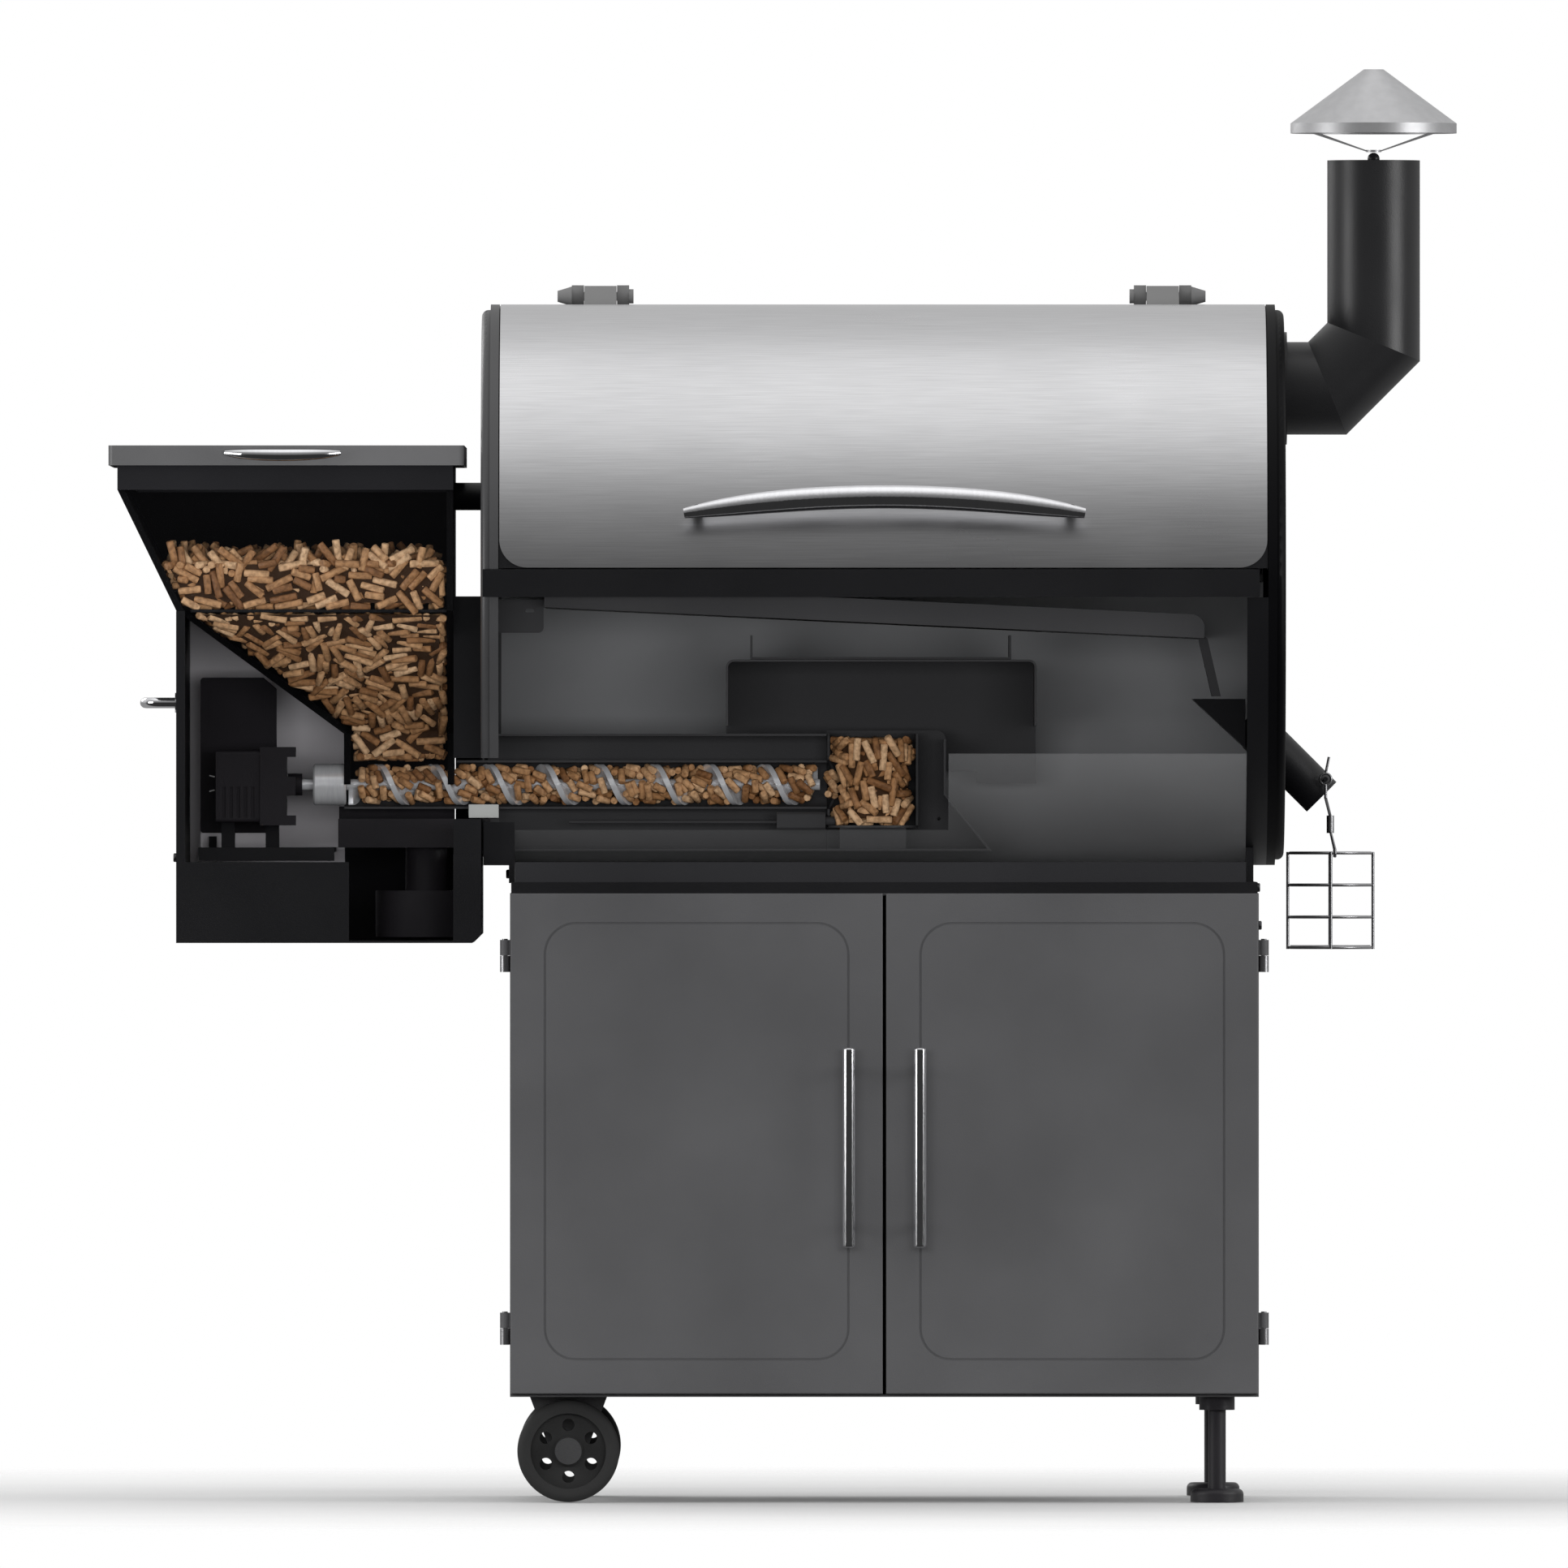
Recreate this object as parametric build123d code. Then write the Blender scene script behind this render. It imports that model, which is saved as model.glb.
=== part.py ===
from build123d import *

import os
from math import acos, cos, degrees, radians, sin, sqrt

# Cabinet pellet grill, shown opened up: the drum's lower front, the feed box's front and the feed
# tube's front are cut away so the way from the pellet hopper to the burn pot can be seen.
#
# Millimetres. +X runs along the drum from the hopper to the chimney, -Y is the front, +Z is up.
# Pieces are drawn about the cabinet's middle plane (x = 0) and the drum's axis (y = 0), with the
# floor at z = 0. They are exported moved by TO_ORIGIN, so the origin is the middle of the footprint.

SHEET = 2.0  # sheet steel
BOLT_R = 4.0

# Drum: a barrel lying along X, with a lid for its upper front
DRUM_R = 254.0
DRUM_Z = 828.0
DRUM_INNER_R = DRUM_R - SHEET
DRUM_LEFT = -348.0
DRUM_RIGHT = 346.0
CAP_DEPTH = 16.0  # how far an end cap stands past the barrel
CAP_BEAD = 8.0
CAP_R = DRUM_R - 5
CAP_LEFT = DRUM_LEFT - CAP_DEPTH
CAP_RIGHT = DRUM_RIGHT + CAP_DEPTH
REAR_EDGE_ANGLE = 15.0  # where the fixed rear skin starts, from the top towards the back
STRIP_LEFT = 327.0  # right of this the lower front skin is left in place

# Lid
LID_REAR_ANGLE = 14.0
LID_BOTTOM_Z = 842.0
LID_SKIN = 1.0
LID_PAN_R = DRUM_R - 1.2
LID_FLANGE = 16.0
LID_CORNER_R = 25.0
LID_PIN_Y = 66.0
LID_PIN_Z = 1090.0
LID_PIN_R = 4.0
LID_HINGES_X = (-257.0, 253.0)
HANDLE_HALF = 182.0
HANDLE_END_Z = 891.0
HANDLE_MIDDLE_Z = 906.0
HANDLE_REACH = 45.0

# Front rail under the lid
RAIL_LEFT, RAIL_RIGHT = -362.0, 338.0
RAIL_BOTTOM, RAIL_TOP = 816.0, 841.0
RAIL_FRONT = -263.0
LEDGE_Z = 828.0
GRATE_Z = LEDGE_Z + SHEET + 0.2
GRATE_DEPTH = 236.0  # half the grates' front-to-back size
GRATE_THICK = 6.0

# Feed: the auger's axis is under the hopper and leads to the burn pot
AUGER_Z = 647.0
AUGER_R = 18.5
AUGER_PITCH = 50.0
AUGER_SHAFT_R = 5.0
AUGER_LEFT, AUGER_RIGHT = -487.0, -58.0
TUBE_R, TUBE_INNER_R = 22.0, 20.0
TUBE_LEFT, TUBE_RIGHT = -489.0, -52.0
POT_X = -10.0
IGNITER_Z = 614.0
BAFFLE_ARMS_X = (-110, 105)
BAFFLE_ARM_Z = 698.0
POT_R, POT_INNER_R = 41.0, 39.0
POT_BOTTOM, POT_TOP = 608.0, 693.0
DUCT_HALF = 45.0
DUCT_BOTTOM, DUCT_TOP = 587.0, 693.0
PORT_HALF = 40.0  # half width of the opening the duct's air and the feed tube pass through
PORT_BOTTOM, PORT_TOP = 592.0, 688.0
CUT_SLOT = (616.0, 671.0)  # heights between which everything in front of the feed tube is cut away

# Hopper and the feed box under it
BIN_LEFT, BIN_RIGHT = -692.0, -389.0
BIN_TOP = 949.5
BIN_RIM_Z = 913.0
BIN_WALL = 6.0
WINDOW = 3.0
BIN_HALF = 190.0
FUNNEL_Z = 804.0
THROAT_Z = 693.0
THROAT_HALF = 30.0
BOX_LEFT, BOX_RIGHT = -639.0, CAP_LEFT
BOX_BOTTOM = 504.0
CHANNEL_LEFT = BIN_RIGHT + 0.05
CHANNEL_TOP = 817.0
CHANNEL_HALF = 150.0
HOPPER_LID_LEFT, HOPPER_LID_RIGHT = -700.0, -379.0
HOPPER_LID_BOTTOM, HOPPER_LID_TOP = 935.0, 953.0
HOPPER_LID_HALF = 198.0
HOPPER_HINGES_X = (-620, -460)
HOPPER_PIN_Y = 203.0
HOPPER_PIN_Z = 945.0
PELLET_LEVEL = 850.0
GUARD_Z, GUARD_THICK = 802.5, 2.5

# Blower, lying flat in the feed box
BLOWER_X = -414.5
BLOWER_R = 46.0
BLOWER_BOTTOM, BLOWER_TOP = 509.0, 551.0
WHEEL_BORE_R = 3.06

# Controls and motor in the feed box
MOTOR_Z = (613.0, 678.0)
MOTOR_HALF = 32.0
KNOB_X, KNOB_Z = -585.0, 648.0
PANEL_X = (-620.0, -551.0)
PANEL_Y = 70.0
PANEL_Z = (603.0, 744.0)

# Chimney
STACK_R = 42.0
STACK_Z = 1006.0
STACK_X = 443.7
STACK_TOP = 1212.5
STACK_BEND = 42.0
STEM_R = 4.0
CHIMNEY_RIM_R = 75.3
CHIMNEY_RIM_Z = (1237.0, 1246.0)
CHIMNEY_TOP_R, CHIMNEY_TOP_Z = 9.0, 1295.0

# Grease: tray, gutter, spout and the wire cage that holds the grease cup
TRAY_LEFT, TRAY_RIGHT = -307.0, 289.0
TRAY_LEFT_Z, TRAY_RIGHT_Z = 807.0, 779.0
TRAY_LIP = 21.0
TRAY_HALF = 215.0
SPOUT_X, SPOUT_Z = 362.0, 670.5
SPOUT_R = 19.0
HOOK_X, HOOK_Y, HOOK_Z = 400.0, -22.5, 652.0
CAGE_X = 404.5
CAGE_R = 40.0
HOOP_R = CAGE_R - 3.6
CAGE_BOTTOM, CAGE_TOP = 498.0, 585.0
WIRE_R = 1.4

# Cabinet
CABINET_HALF = 337.5
CABINET_DEPTH = 230.0  # half its front-to-back size
CABINET_BOTTOM, CABINET_TOP = 95.0, 549.0
FRAME_TOP = 559.0
DOOR_THICK = 18.0
DOOR_GAP = 1.5
DOOR_BACK = -CABINET_DEPTH - 2.0
DOOR_BOTTOM = CABINET_BOTTOM + 3
PANEL_MARGIN = 30.0
PANEL_R = 29.0
HINGE_X = CABINET_HALF + 4.5
HINGE_Y = DOOR_BACK + 1.0
HINGE_R, HINGE_PIN_R, HINGE_BORE_R = 4.5, 2.5, 2.56
HINGES_Z = (486.0, 150.0)

# Wheels on the hopper side, feet on the other
WHEEL_R = 46.0
WHEEL_WIDTH = 30.0
WHEEL_X = -285.0
WHEEL_Y = 205.0
AXLE_R, AXLE_BORE_R = 7.0, 7.06
FEET_X = 300.0

# The footprint runs from the hopper lid to the chimney cap, and from the lid handle to the rear skin
FRONT = -DRUM_R - HANDLE_REACH
RIGHT = STACK_X + CHIMNEY_RIM_R
TO_ORIGIN = (-(HOPPER_LID_LEFT + RIGHT) / 2, -(FRONT + DRUM_R) / 2, 0)


def block(x, y, z):
    """A box from its (low, high) in each direction."""
    sizes = [high - low for low, high in (x, y, z)]
    middle = [(high + low) / 2 for low, high in (x, y, z)]
    return Pos(*middle) * Box(*sizes)


def rod(start, end, radius):
    """A round bar between two points."""
    direction = Vector(*end) - Vector(*start)
    return Part() + Solid.make_cylinder(radius, direction.length, Plane(Vector(*start), z_dir=direction))


def slab_xz(face, y):
    """A front-view outline pulled through the depth y = (low, high)."""
    return Pos(0, y[1], 0) * extrude(Plane.XZ * face, y[1] - y[0])


def slab_yz(face, x):
    """A side-view outline pulled along x = (low, high)."""
    return Pos(x[0], 0, 0) * extrude(Plane.YZ * face, x[1] - x[0])


def outline(*points):
    return make_face(Polyline(*points, close=True))


def rounded(x, z, radius):
    """A rounded rectangle from its (low, high) in each direction."""
    face = RectangleRounded(x[1] - x[0], z[1] - z[0], radius)
    return Pos((x[0] + x[1]) / 2, (z[0] + z[1]) / 2) * face


def drum_angle(z, radius=DRUM_R):
    """Angle from the drum's top of the point on its skin at height z."""
    return degrees(acos((z - DRUM_Z) / radius))


def drum_point(radius, angle):
    """(y, z) at an angle from the drum's top, positive towards the back."""
    return radius * sin(radians(angle)), DRUM_Z + radius * cos(radians(angle))


def drum_sheet(outer, inner, angles, x):
    """A sheet bent round the drum's axis between two angles."""
    start, end = angles
    middle = (start + end) / 2
    edges = [
        ThreePointArc(*(drum_point(outer, a) for a in (start, middle, end))),
        Line(drum_point(outer, end), drum_point(inner, end)),
        ThreePointArc(*(drum_point(inner, a) for a in (end, middle, start))),
        Line(drum_point(inner, start), drum_point(outer, start)),
    ]
    return slab_yz(make_face(edges), x)


def along_x(radius, x, y, z):
    """A round bar lying along X."""
    return rod((x[0], y, z), (x[1], y, z), radius)


def along_y(radius, x, y, z):
    return rod((x, y[0], z), (x, y[1], z), radius)


def along_z(radius, x, y, z):
    return rod((x, y, z[0]), (x, y, z[1]), radius)


# Drum


def drum_shell():
    """Rear and bottom skin, the strip left at the right, the grate ledge and the baffle's arms."""
    shell = drum_sheet(DRUM_R, DRUM_INNER_R, (REAR_EDGE_ANGLE, 180), (DRUM_LEFT, DRUM_RIGHT))
    strip_end = 360 - drum_angle(RAIL_BOTTOM - 0.5)
    shell += drum_sheet(DRUM_R, DRUM_INNER_R, (180, strip_end), (STRIP_LEFT, DRUM_RIGHT))
    shell += block((-340, 338), (232, DRUM_INNER_R + 1), (LEDGE_Z, LEDGE_Z + SHEET))
    arm_end = sqrt(DRUM_INNER_R**2 - (DRUM_Z - BAFFLE_ARM_Z) ** 2)
    for x in BAFFLE_ARMS_X:
        shell += block((x - 10, x + 10), (102.5, arm_end + 1), (BAFFLE_ARM_Z, BAFFLE_ARM_Z + 3))
    return shell


def end_cap(side):
    """Dished cap with a rolled bead; side is -1 for the left end and 1 for the right."""
    face_r = CAP_R - 6
    deep = CAP_DEPTH - SHEET
    profile = make_face(
        [
            Polyline((0, CAP_DEPTH), (face_r, CAP_DEPTH)),
            RadiusArc((face_r, CAP_DEPTH), (CAP_R, CAP_DEPTH - 6), 6),
            Polyline(
                (CAP_R, CAP_DEPTH - 6),
                (CAP_R, CAP_BEAD),
                (DRUM_R, CAP_BEAD),
                (DRUM_R, 0),
                (CAP_R - SHEET, 0),
                (CAP_R - SHEET, CAP_DEPTH - 6),
                (face_r, deep),
                (0, deep),
                (0, CAP_DEPTH),
            ),
        ]
    )
    # the profile's first axis is the radius and its second runs outwards along the drum
    start = DRUM_RIGHT if side > 0 else DRUM_LEFT
    plane = Plane(origin=(start, 0, DRUM_Z), x_dir=(0, 0, 1), z_dir=(0, side, 0))
    return revolve(plane * profile, Axis((start, 0, DRUM_Z), (1, 0, 0)))


def left_end_cap():
    cap = end_cap(-1)
    ends = (CAP_LEFT - 1, CAP_LEFT + CAP_DEPTH + 1)
    cap -= block(ends, (-PORT_HALF, PORT_HALF), (PORT_BOTTOM, PORT_TOP))
    return cap - block(ends, (-DRUM_R, 0), CUT_SLOT)


def right_end_cap():
    cap = end_cap(1)
    cap -= along_x(STACK_R - SHEET, (DRUM_RIGHT, CAP_RIGHT + 1), 0, STACK_Z)
    return cap - spout_line(SPOUT_R + 0.5, -45, 45)


def front_rail():
    """Box-section rail across the front, with the ledge the grates rest on."""
    back = -DRUM_R - 0.6
    rail = block((RAIL_LEFT, RAIL_RIGHT), (RAIL_FRONT, back), (RAIL_BOTTOM, RAIL_TOP))
    hollow = block(
        (RAIL_LEFT - 1, RAIL_RIGHT + 1),
        (RAIL_FRONT + SHEET, back - SHEET),
        (RAIL_BOTTOM + SHEET, RAIL_TOP - SHEET),
    )
    ledge = block((DRUM_LEFT + 1, RAIL_RIGHT), (back - 1, -232), (LEDGE_Z, LEDGE_Z + SHEET))
    return rail - hollow + ledge


def smoked_front_panel():
    """See-through lower front skin, cut low on the left so the feed tube stays in the open."""
    top, low, notch_right = 674.0, 606.0, 58.0
    radius = DRUM_R - 0.3
    edges = (180.3, 360 - drum_angle(top, radius))
    panel = drum_sheet(radius, radius - 1.5, edges, (DRUM_LEFT + 0.3, STRIP_LEFT - 0.3))
    return panel - block((DRUM_LEFT, notch_right), (-DRUM_R, 0), (low, top + 1))


def cooking_grates():
    """Two cast grates side by side."""
    half_width, bar, gap = 171.0, 6.0, 10.0
    slots = int((2 * half_width - 2 * bar) / (bar + gap))
    size_y = 2 * GRATE_DEPTH
    long_slot = SlotOverall(size_y / 2 - 1.5 * bar, gap, rotation=90)
    grate = RectangleRounded(2 * half_width, size_y, 8)
    for row in (-1, 1):
        grate -= Pos(0, row * (size_y / 4 - bar / 4)) * GridLocations(bar + gap, 0, slots, 1) * long_slot
    solid = Pos(0, 0, GRATE_Z) * extrude(grate, GRATE_THICK)
    return [Pos(x, 0, 0) * solid for x in (-172.5, 170.5)]


def warming_rack():
    """Wire shelf standing on the grates."""
    half, front, back, z = 300.0, 40.0, 196.0, 930.0
    rail_r, bar_r = 3.0, 1.6
    foot = GRATE_Z + GRATE_THICK + 0.2
    rack = Part()
    for y in (front, back):
        rack += along_x(rail_r, (-half, half), y, z)
        for x in (-half + 6, half - 6):
            rack += along_z(rail_r - 0.5, x, y, (foot, z + 1))
    for x in (-half + 6, half - 6):
        rack += along_y(bar_r, x, (front, back), foot + 30)
    bars = 15
    for i in range(1, bars):
        rack += along_y(bar_r, -half + i * 2 * half / bars, (front - 1, back + 1), z + 0.8)
    return rack


# Lid


def lid_pan():
    inner = LID_PAN_R - SHEET
    edges = (-drum_angle(LID_BOTTOM_Z), LID_REAR_ANGLE)
    pan = drum_sheet(LID_PAN_R, inner, edges, (DRUM_LEFT + 0.5, DRUM_RIGHT - 0.5))
    for x in (DRUM_LEFT + 0.5, DRUM_RIGHT - 0.5 - SHEET):
        pan += drum_sheet(inner + 0.5, inner - LID_FLANGE, edges, (x, x + SHEET))
    return pan


def lid_skin():
    """Stainless outer skin with its two lower corners rounded."""
    edges = (-drum_angle(LID_BOTTOM_Z), LID_REAR_ANGLE)
    skin = drum_sheet(DRUM_R, DRUM_R - LID_SKIN, edges, (DRUM_LEFT + 0.5, DRUM_RIGHT - 0.5))
    front_z = (LID_BOTTOM_Z + 0.5, DRUM_Z + 2 * DRUM_R)
    front = rounded((DRUM_LEFT + 1, DRUM_RIGHT - 1), front_z, LID_CORNER_R)
    return skin & slab_xz(front, (-DRUM_R - 1, DRUM_R))


def lid_handle():
    """Arched grip that tapers to its ends, on two posts."""
    reach = -DRUM_R - HANDLE_REACH
    grip_y = reach + 10.5
    end_left = (-HANDLE_HALF, grip_y + 6, HANDLE_END_Z)
    end_right = (HANDLE_HALF, grip_y + 6, HANDLE_END_Z)
    arch = ThreePointArc(end_left, (0, grip_y, HANDLE_MIDDLE_Z), end_right)
    grip = Part()
    steps = ((0.004, 4.5, 3.5), (0.12, 8.5, 7.5), (0.5, 10.5, 10.5), (0.88, 8.5, 7.5), (0.996, 4.5, 3.5))
    sections = []
    for where, tall, deep in steps:
        plane = Plane(origin=arch @ where, x_dir=(0, 0, 1), z_dir=arch % where)
        sections.append(plane * Ellipse(tall, deep))
    grip += loft(sections)
    for x in (-HANDLE_HALF + 14, HANDLE_HALF - 14):
        z = HANDLE_END_Z + 2.5
        skin_y = -sqrt(DRUM_R**2 - (z - DRUM_Z) ** 2)
        post = along_y(6, x, (grip_y + 4, skin_y + 10), z)
        grip += post - along_x(DRUM_R + 0.1, (x - 20, x + 20), 0, DRUM_Z)
    return grip


def hinge_saddle(x, angles, top):
    """Block that sits on the drum's skin and rises to the hinge pin."""
    face = make_face(
        [
            ThreePointArc(*(drum_point(DRUM_R + 0.2, a) for a in (angles[0], sum(angles) / 2, angles[1]))),
            Polyline(drum_point(DRUM_R + 0.2, angles[1]), *top, drum_point(DRUM_R + 0.2, angles[0])),
        ]
    )
    return slab_yz(face, x)


def lid_hinge_brackets():
    """Fixed halves: two lugs each side of a lid leaf, on the rear skin, with the tapered pin."""
    brackets = []
    for x in LID_HINGES_X:
        outward = -1 if x < 0 else 1
        bracket = Part()
        for lug in ((x - 26, x - 15), (x + 15, x + 26)):
            top = [(LID_PIN_Y + y, LID_PIN_Z + z) for y, z in ((12, 5), (6, 10), (-8, 10))]
            bracket += hinge_saddle(lug, (REAR_EDGE_ANGLE + 0.5, 21), top)
        low_top = [(LID_PIN_Y + y, LID_PIN_Z - 11) for y in (14, 12)]
        bracket += hinge_saddle((x - 15, x + 15), (17.5, 21), low_top)
        bracket += along_x(LID_PIN_R, (x - 26, x + 26), LID_PIN_Y, LID_PIN_Z)
        tip_start, tip_end = x + outward * 26, x + outward * 39
        tip = Solid.make_cone(9, 5, 13, Plane((tip_start, LID_PIN_Y, LID_PIN_Z), z_dir=(outward, 0, 0)))
        bracket += tip
        bracket += along_x(6.5, (x - outward * 30, x - outward * 26), LID_PIN_Y, LID_PIN_Z)
        brackets.append(bracket)
    return brackets


def lid_hinge_leaves():
    """Moving halves: a knuckle round each pin, riveted to the lid skin."""
    leaves = []
    for x in LID_HINGES_X:
        ends = (x - 14.6, x + 14.6)
        top = ((LID_PIN_Y + 2, LID_PIN_Z + 9), (LID_PIN_Y - 9, LID_PIN_Z + 9))
        leaf = hinge_saddle(ends, (3.5, 12.5), top)
        leaf += along_x(9.5, ends, LID_PIN_Y, LID_PIN_Z)
        leaf -= along_x(LID_PIN_R + 0.06, ends, LID_PIN_Y, LID_PIN_Z)
        leaves.append(leaf)
    return leaves


# Inside the drum


def grease_tray():
    """Sloping pan under the grates, with the strip that carries the grease into the gutter."""
    length = TRAY_RIGHT - TRAY_LEFT
    slope = degrees(acos(length / sqrt(length**2 + (TRAY_LEFT_Z - TRAY_RIGHT_Z) ** 2)))
    pan = Pos(length / 2, 0, TRAY_LIP / 2) * Box(length, 2 * TRAY_HALF, TRAY_LIP)
    pan = fillet(pan.edges().filter_by(Axis.Y).sort_by(Axis.X)[-2:].sort_by(Axis.Z)[-1], 12)
    inside = Box(length - SHEET, 2 * (TRAY_HALF - SHEET), TRAY_LIP)
    pan -= Pos(length / 2 + SHEET, 0, TRAY_LIP / 2 + SHEET) * inside
    pan = Pos(TRAY_LEFT, 0, TRAY_LEFT_Z) * Rot(0, slope, 0) * pan
    strip = outline(
        (TRAY_RIGHT - 4, TRAY_RIGHT_Z + 8),
        (TRAY_RIGHT + 4, TRAY_RIGHT_Z),
        (TRAY_RIGHT + 16, 727),
        (TRAY_RIGHT + 8, 727),
        (TRAY_RIGHT - 4, TRAY_RIGHT_Z),
    )
    return pan + slab_xz(strip, (-30, 30))


def heat_baffle():
    """Hood over the burn pot; its front is open."""
    half, bend = 100.0, 7.0
    left, right, top, side_bottom = -143.0, 138.0, 760.0, 700.0
    back = outline((left, 659), (84, 659), (84, 648), (right, 648), (right, top), (left, top))
    back = fillet(back.vertices().group_by(Axis.Y)[-1], bend)
    bow = outline((left, side_bottom), (right, side_bottom), (right, top), (left, top))
    bow = fillet(bow.vertices().group_by(Axis.Y)[-1], bend)
    inner_left, inner_right, inner_top = left + SHEET, right - SHEET, top - SHEET
    inside = outline(
        (inner_left, side_bottom), (inner_right, side_bottom), (inner_right, inner_top), (inner_left, inner_top)
    )
    inside = fillet(inside.vertices().group_by(Axis.Y)[-1], bend - SHEET)
    hood = slab_xz(back, (half, half + SHEET)) + slab_xz(bow - inside, (-half, half + SHEET))
    tab_z = BAFFLE_ARM_Z + 3.2
    for x in BAFFLE_ARMS_X:
        hood += block((x - 8, x + 8), (half, half + 30), (tab_z, tab_z + SHEET))
    return hood


def baffle_tray():
    """Drip plate on the hood with its two ends turned up."""
    z, lip = 760.2, 782.0
    plate = block((-121, 115), (-90, 90), (z, z + SHEET))
    plate += block((-121, -121 + SHEET), (-90, 90), (z, lip))
    return plate + block((115 - SHEET, 115), (-90, 90), (z, lip))


def burn_pot():
    """Fire pot, cut open at the front."""
    pot = along_z(POT_R, POT_X, 0, (POT_BOTTOM, POT_TOP))
    pot -= along_z(POT_INNER_R, POT_X, 0, (POT_BOTTOM + SHEET, POT_TOP + 1))
    pot -= block((POT_X - POT_R, POT_X + POT_R), (-POT_R, 0), (POT_BOTTOM + SHEET, POT_TOP + 1))
    pot -= along_x(TUBE_R + 0.3, (POT_X - POT_R - 1, POT_X), 0, AUGER_Z)
    pot -= along_x(5, (POT_X - POT_R - 1, POT_X), 0, IGNITER_Z)
    for angle in range(30, 151, 30):
        x = POT_X + (POT_R + 4) * cos(radians(angle))
        y = (POT_R + 4) * sin(radians(angle))
        for z in (624, 640):
            pot -= rod((POT_X, 0, z), (x, y, z), 3)
    return pot


def burn_pot_housing():
    """Sheet housing the pot stands in, with a sloping skirt on the right."""
    left, right, foot, top = TUBE_RIGHT + 0.2, 56.0, 98.0, 696.0
    back = outline((left, DUCT_BOTTOM), (foot, DUCT_BOTTOM), (right, 638), (right, top), (left, top))
    back = fillet(back.vertices().group_by(Axis.Y)[-1].sort_by(Axis.X)[-1], 8)
    back -= Pos(50, 616) * Circle(1.6)
    housing = slab_xz(back, (DUCT_HALF - SHEET, DUCT_HALF))
    floor = block((left, foot - 3), (-DUCT_HALF, DUCT_HALF), (DUCT_BOTTOM, DUCT_BOTTOM + SHEET))
    skirt = outline((foot, DUCT_BOTTOM), (right, 638), (right - SHEET, 638), (foot - 3, DUCT_BOTTOM))
    housing += floor + slab_xz(skirt, (-DUCT_HALF, DUCT_HALF))
    housing += block((right - SHEET, right), (-DUCT_HALF, DUCT_HALF), (637, top - 8))
    stand = block((POT_X - 30, POT_X + 30), (-25, 25), (DUCT_BOTTOM + 1, POT_BOTTOM))
    return housing + stand


def igniter():
    """Hot rod that lights the pellets, its holder and its lead."""
    body = block((-97, TUBE_RIGHT - 1), (-9, 9), (606, 622))
    body = chamfer(body.edges().filter_by(Axis.X), 2)
    body += along_x(4, (TUBE_RIGHT - 2, POT_X - POT_INNER_R + 5), 0, IGNITER_Z)
    return body + along_x(1.4, (-285, -96), 0, IGNITER_Z - 1)


def air_duct():
    """Channel from the blower to the pot, open at the front."""
    ends = (CAP_LEFT + 5, TUBE_RIGHT)
    duct = block(ends, (-DUCT_HALF, DUCT_HALF), (DUCT_BOTTOM, DUCT_TOP))
    inside = (DUCT_BOTTOM + SHEET, DUCT_TOP - SHEET)
    return duct - block((ends[0] - 1, ends[1] + 1), (-DUCT_HALF - 1, DUCT_HALF - SHEET), inside)


def auger_tube():
    """Feed tube: its back half only, and under the hopper only its lower back quarter."""
    ends = (TUBE_LEFT, TUBE_RIGHT + 0.1)
    tube = along_x(TUBE_R, ends, 0, AUGER_Z)
    tube -= along_x(TUBE_INNER_R, (ends[0] - 1, ends[1] + 1), 0, AUGER_Z)
    tube -= block((ends[0] - 1, ends[1] + 1), (-TUBE_R, 0), (AUGER_Z - TUBE_R, AUGER_Z + TUBE_R))
    return tube - block((TUBE_LEFT - 1, BIN_RIGHT + 1), (-1, TUBE_R + 1), (AUGER_Z, AUGER_Z + TUBE_R))


def tube_clamp():
    """Block the feed tube rests in where it enters the drum."""
    clamp = block((-376, -349), (-24, 24), (617, 629))
    return clamp - along_x(TUBE_R + 0.1, (-377, -348), 0, AUGER_Z)


def auger_screw():
    """Shaft with one right-hand flight."""
    turns = (AUGER_RIGHT - AUGER_LEFT - 8) / AUGER_PITCH
    middle_r = (AUGER_R + AUGER_SHAFT_R - 0.5) / 2
    height = turns * AUGER_PITCH
    path = Helix(AUGER_PITCH, height, middle_r)
    deep, thick = AUGER_R - AUGER_SHAFT_R + 0.5, 5.0
    start = Plane(origin=path @ 0, x_dir=(1, 0, 0), z_dir=path % 0)
    flight = sweep(start * Rectangle(deep, thick), path=path, is_frenet=True)
    flight = Pos(AUGER_LEFT + 4, 0, AUGER_Z) * Rot(0, 90, 0) * flight
    return flight + along_x(AUGER_SHAFT_R, (AUGER_LEFT, AUGER_RIGHT), 0, AUGER_Z)


def shaft_coupling():
    """Sleeve that joins the gearbox's shaft to the auger."""
    sleeve = along_x(18.8, (-517, AUGER_LEFT - 0.2), 0, AUGER_Z)
    sleeve = chamfer(sleeve.edges().filter_by(GeomType.CIRCLE), 1.5)
    sleeve += along_x(5, (-541, -516), 0, AUGER_Z)
    return sleeve - rod((-502, 0, AUGER_Z + 19), (-502, 0, AUGER_Z + 13), 3)


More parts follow.
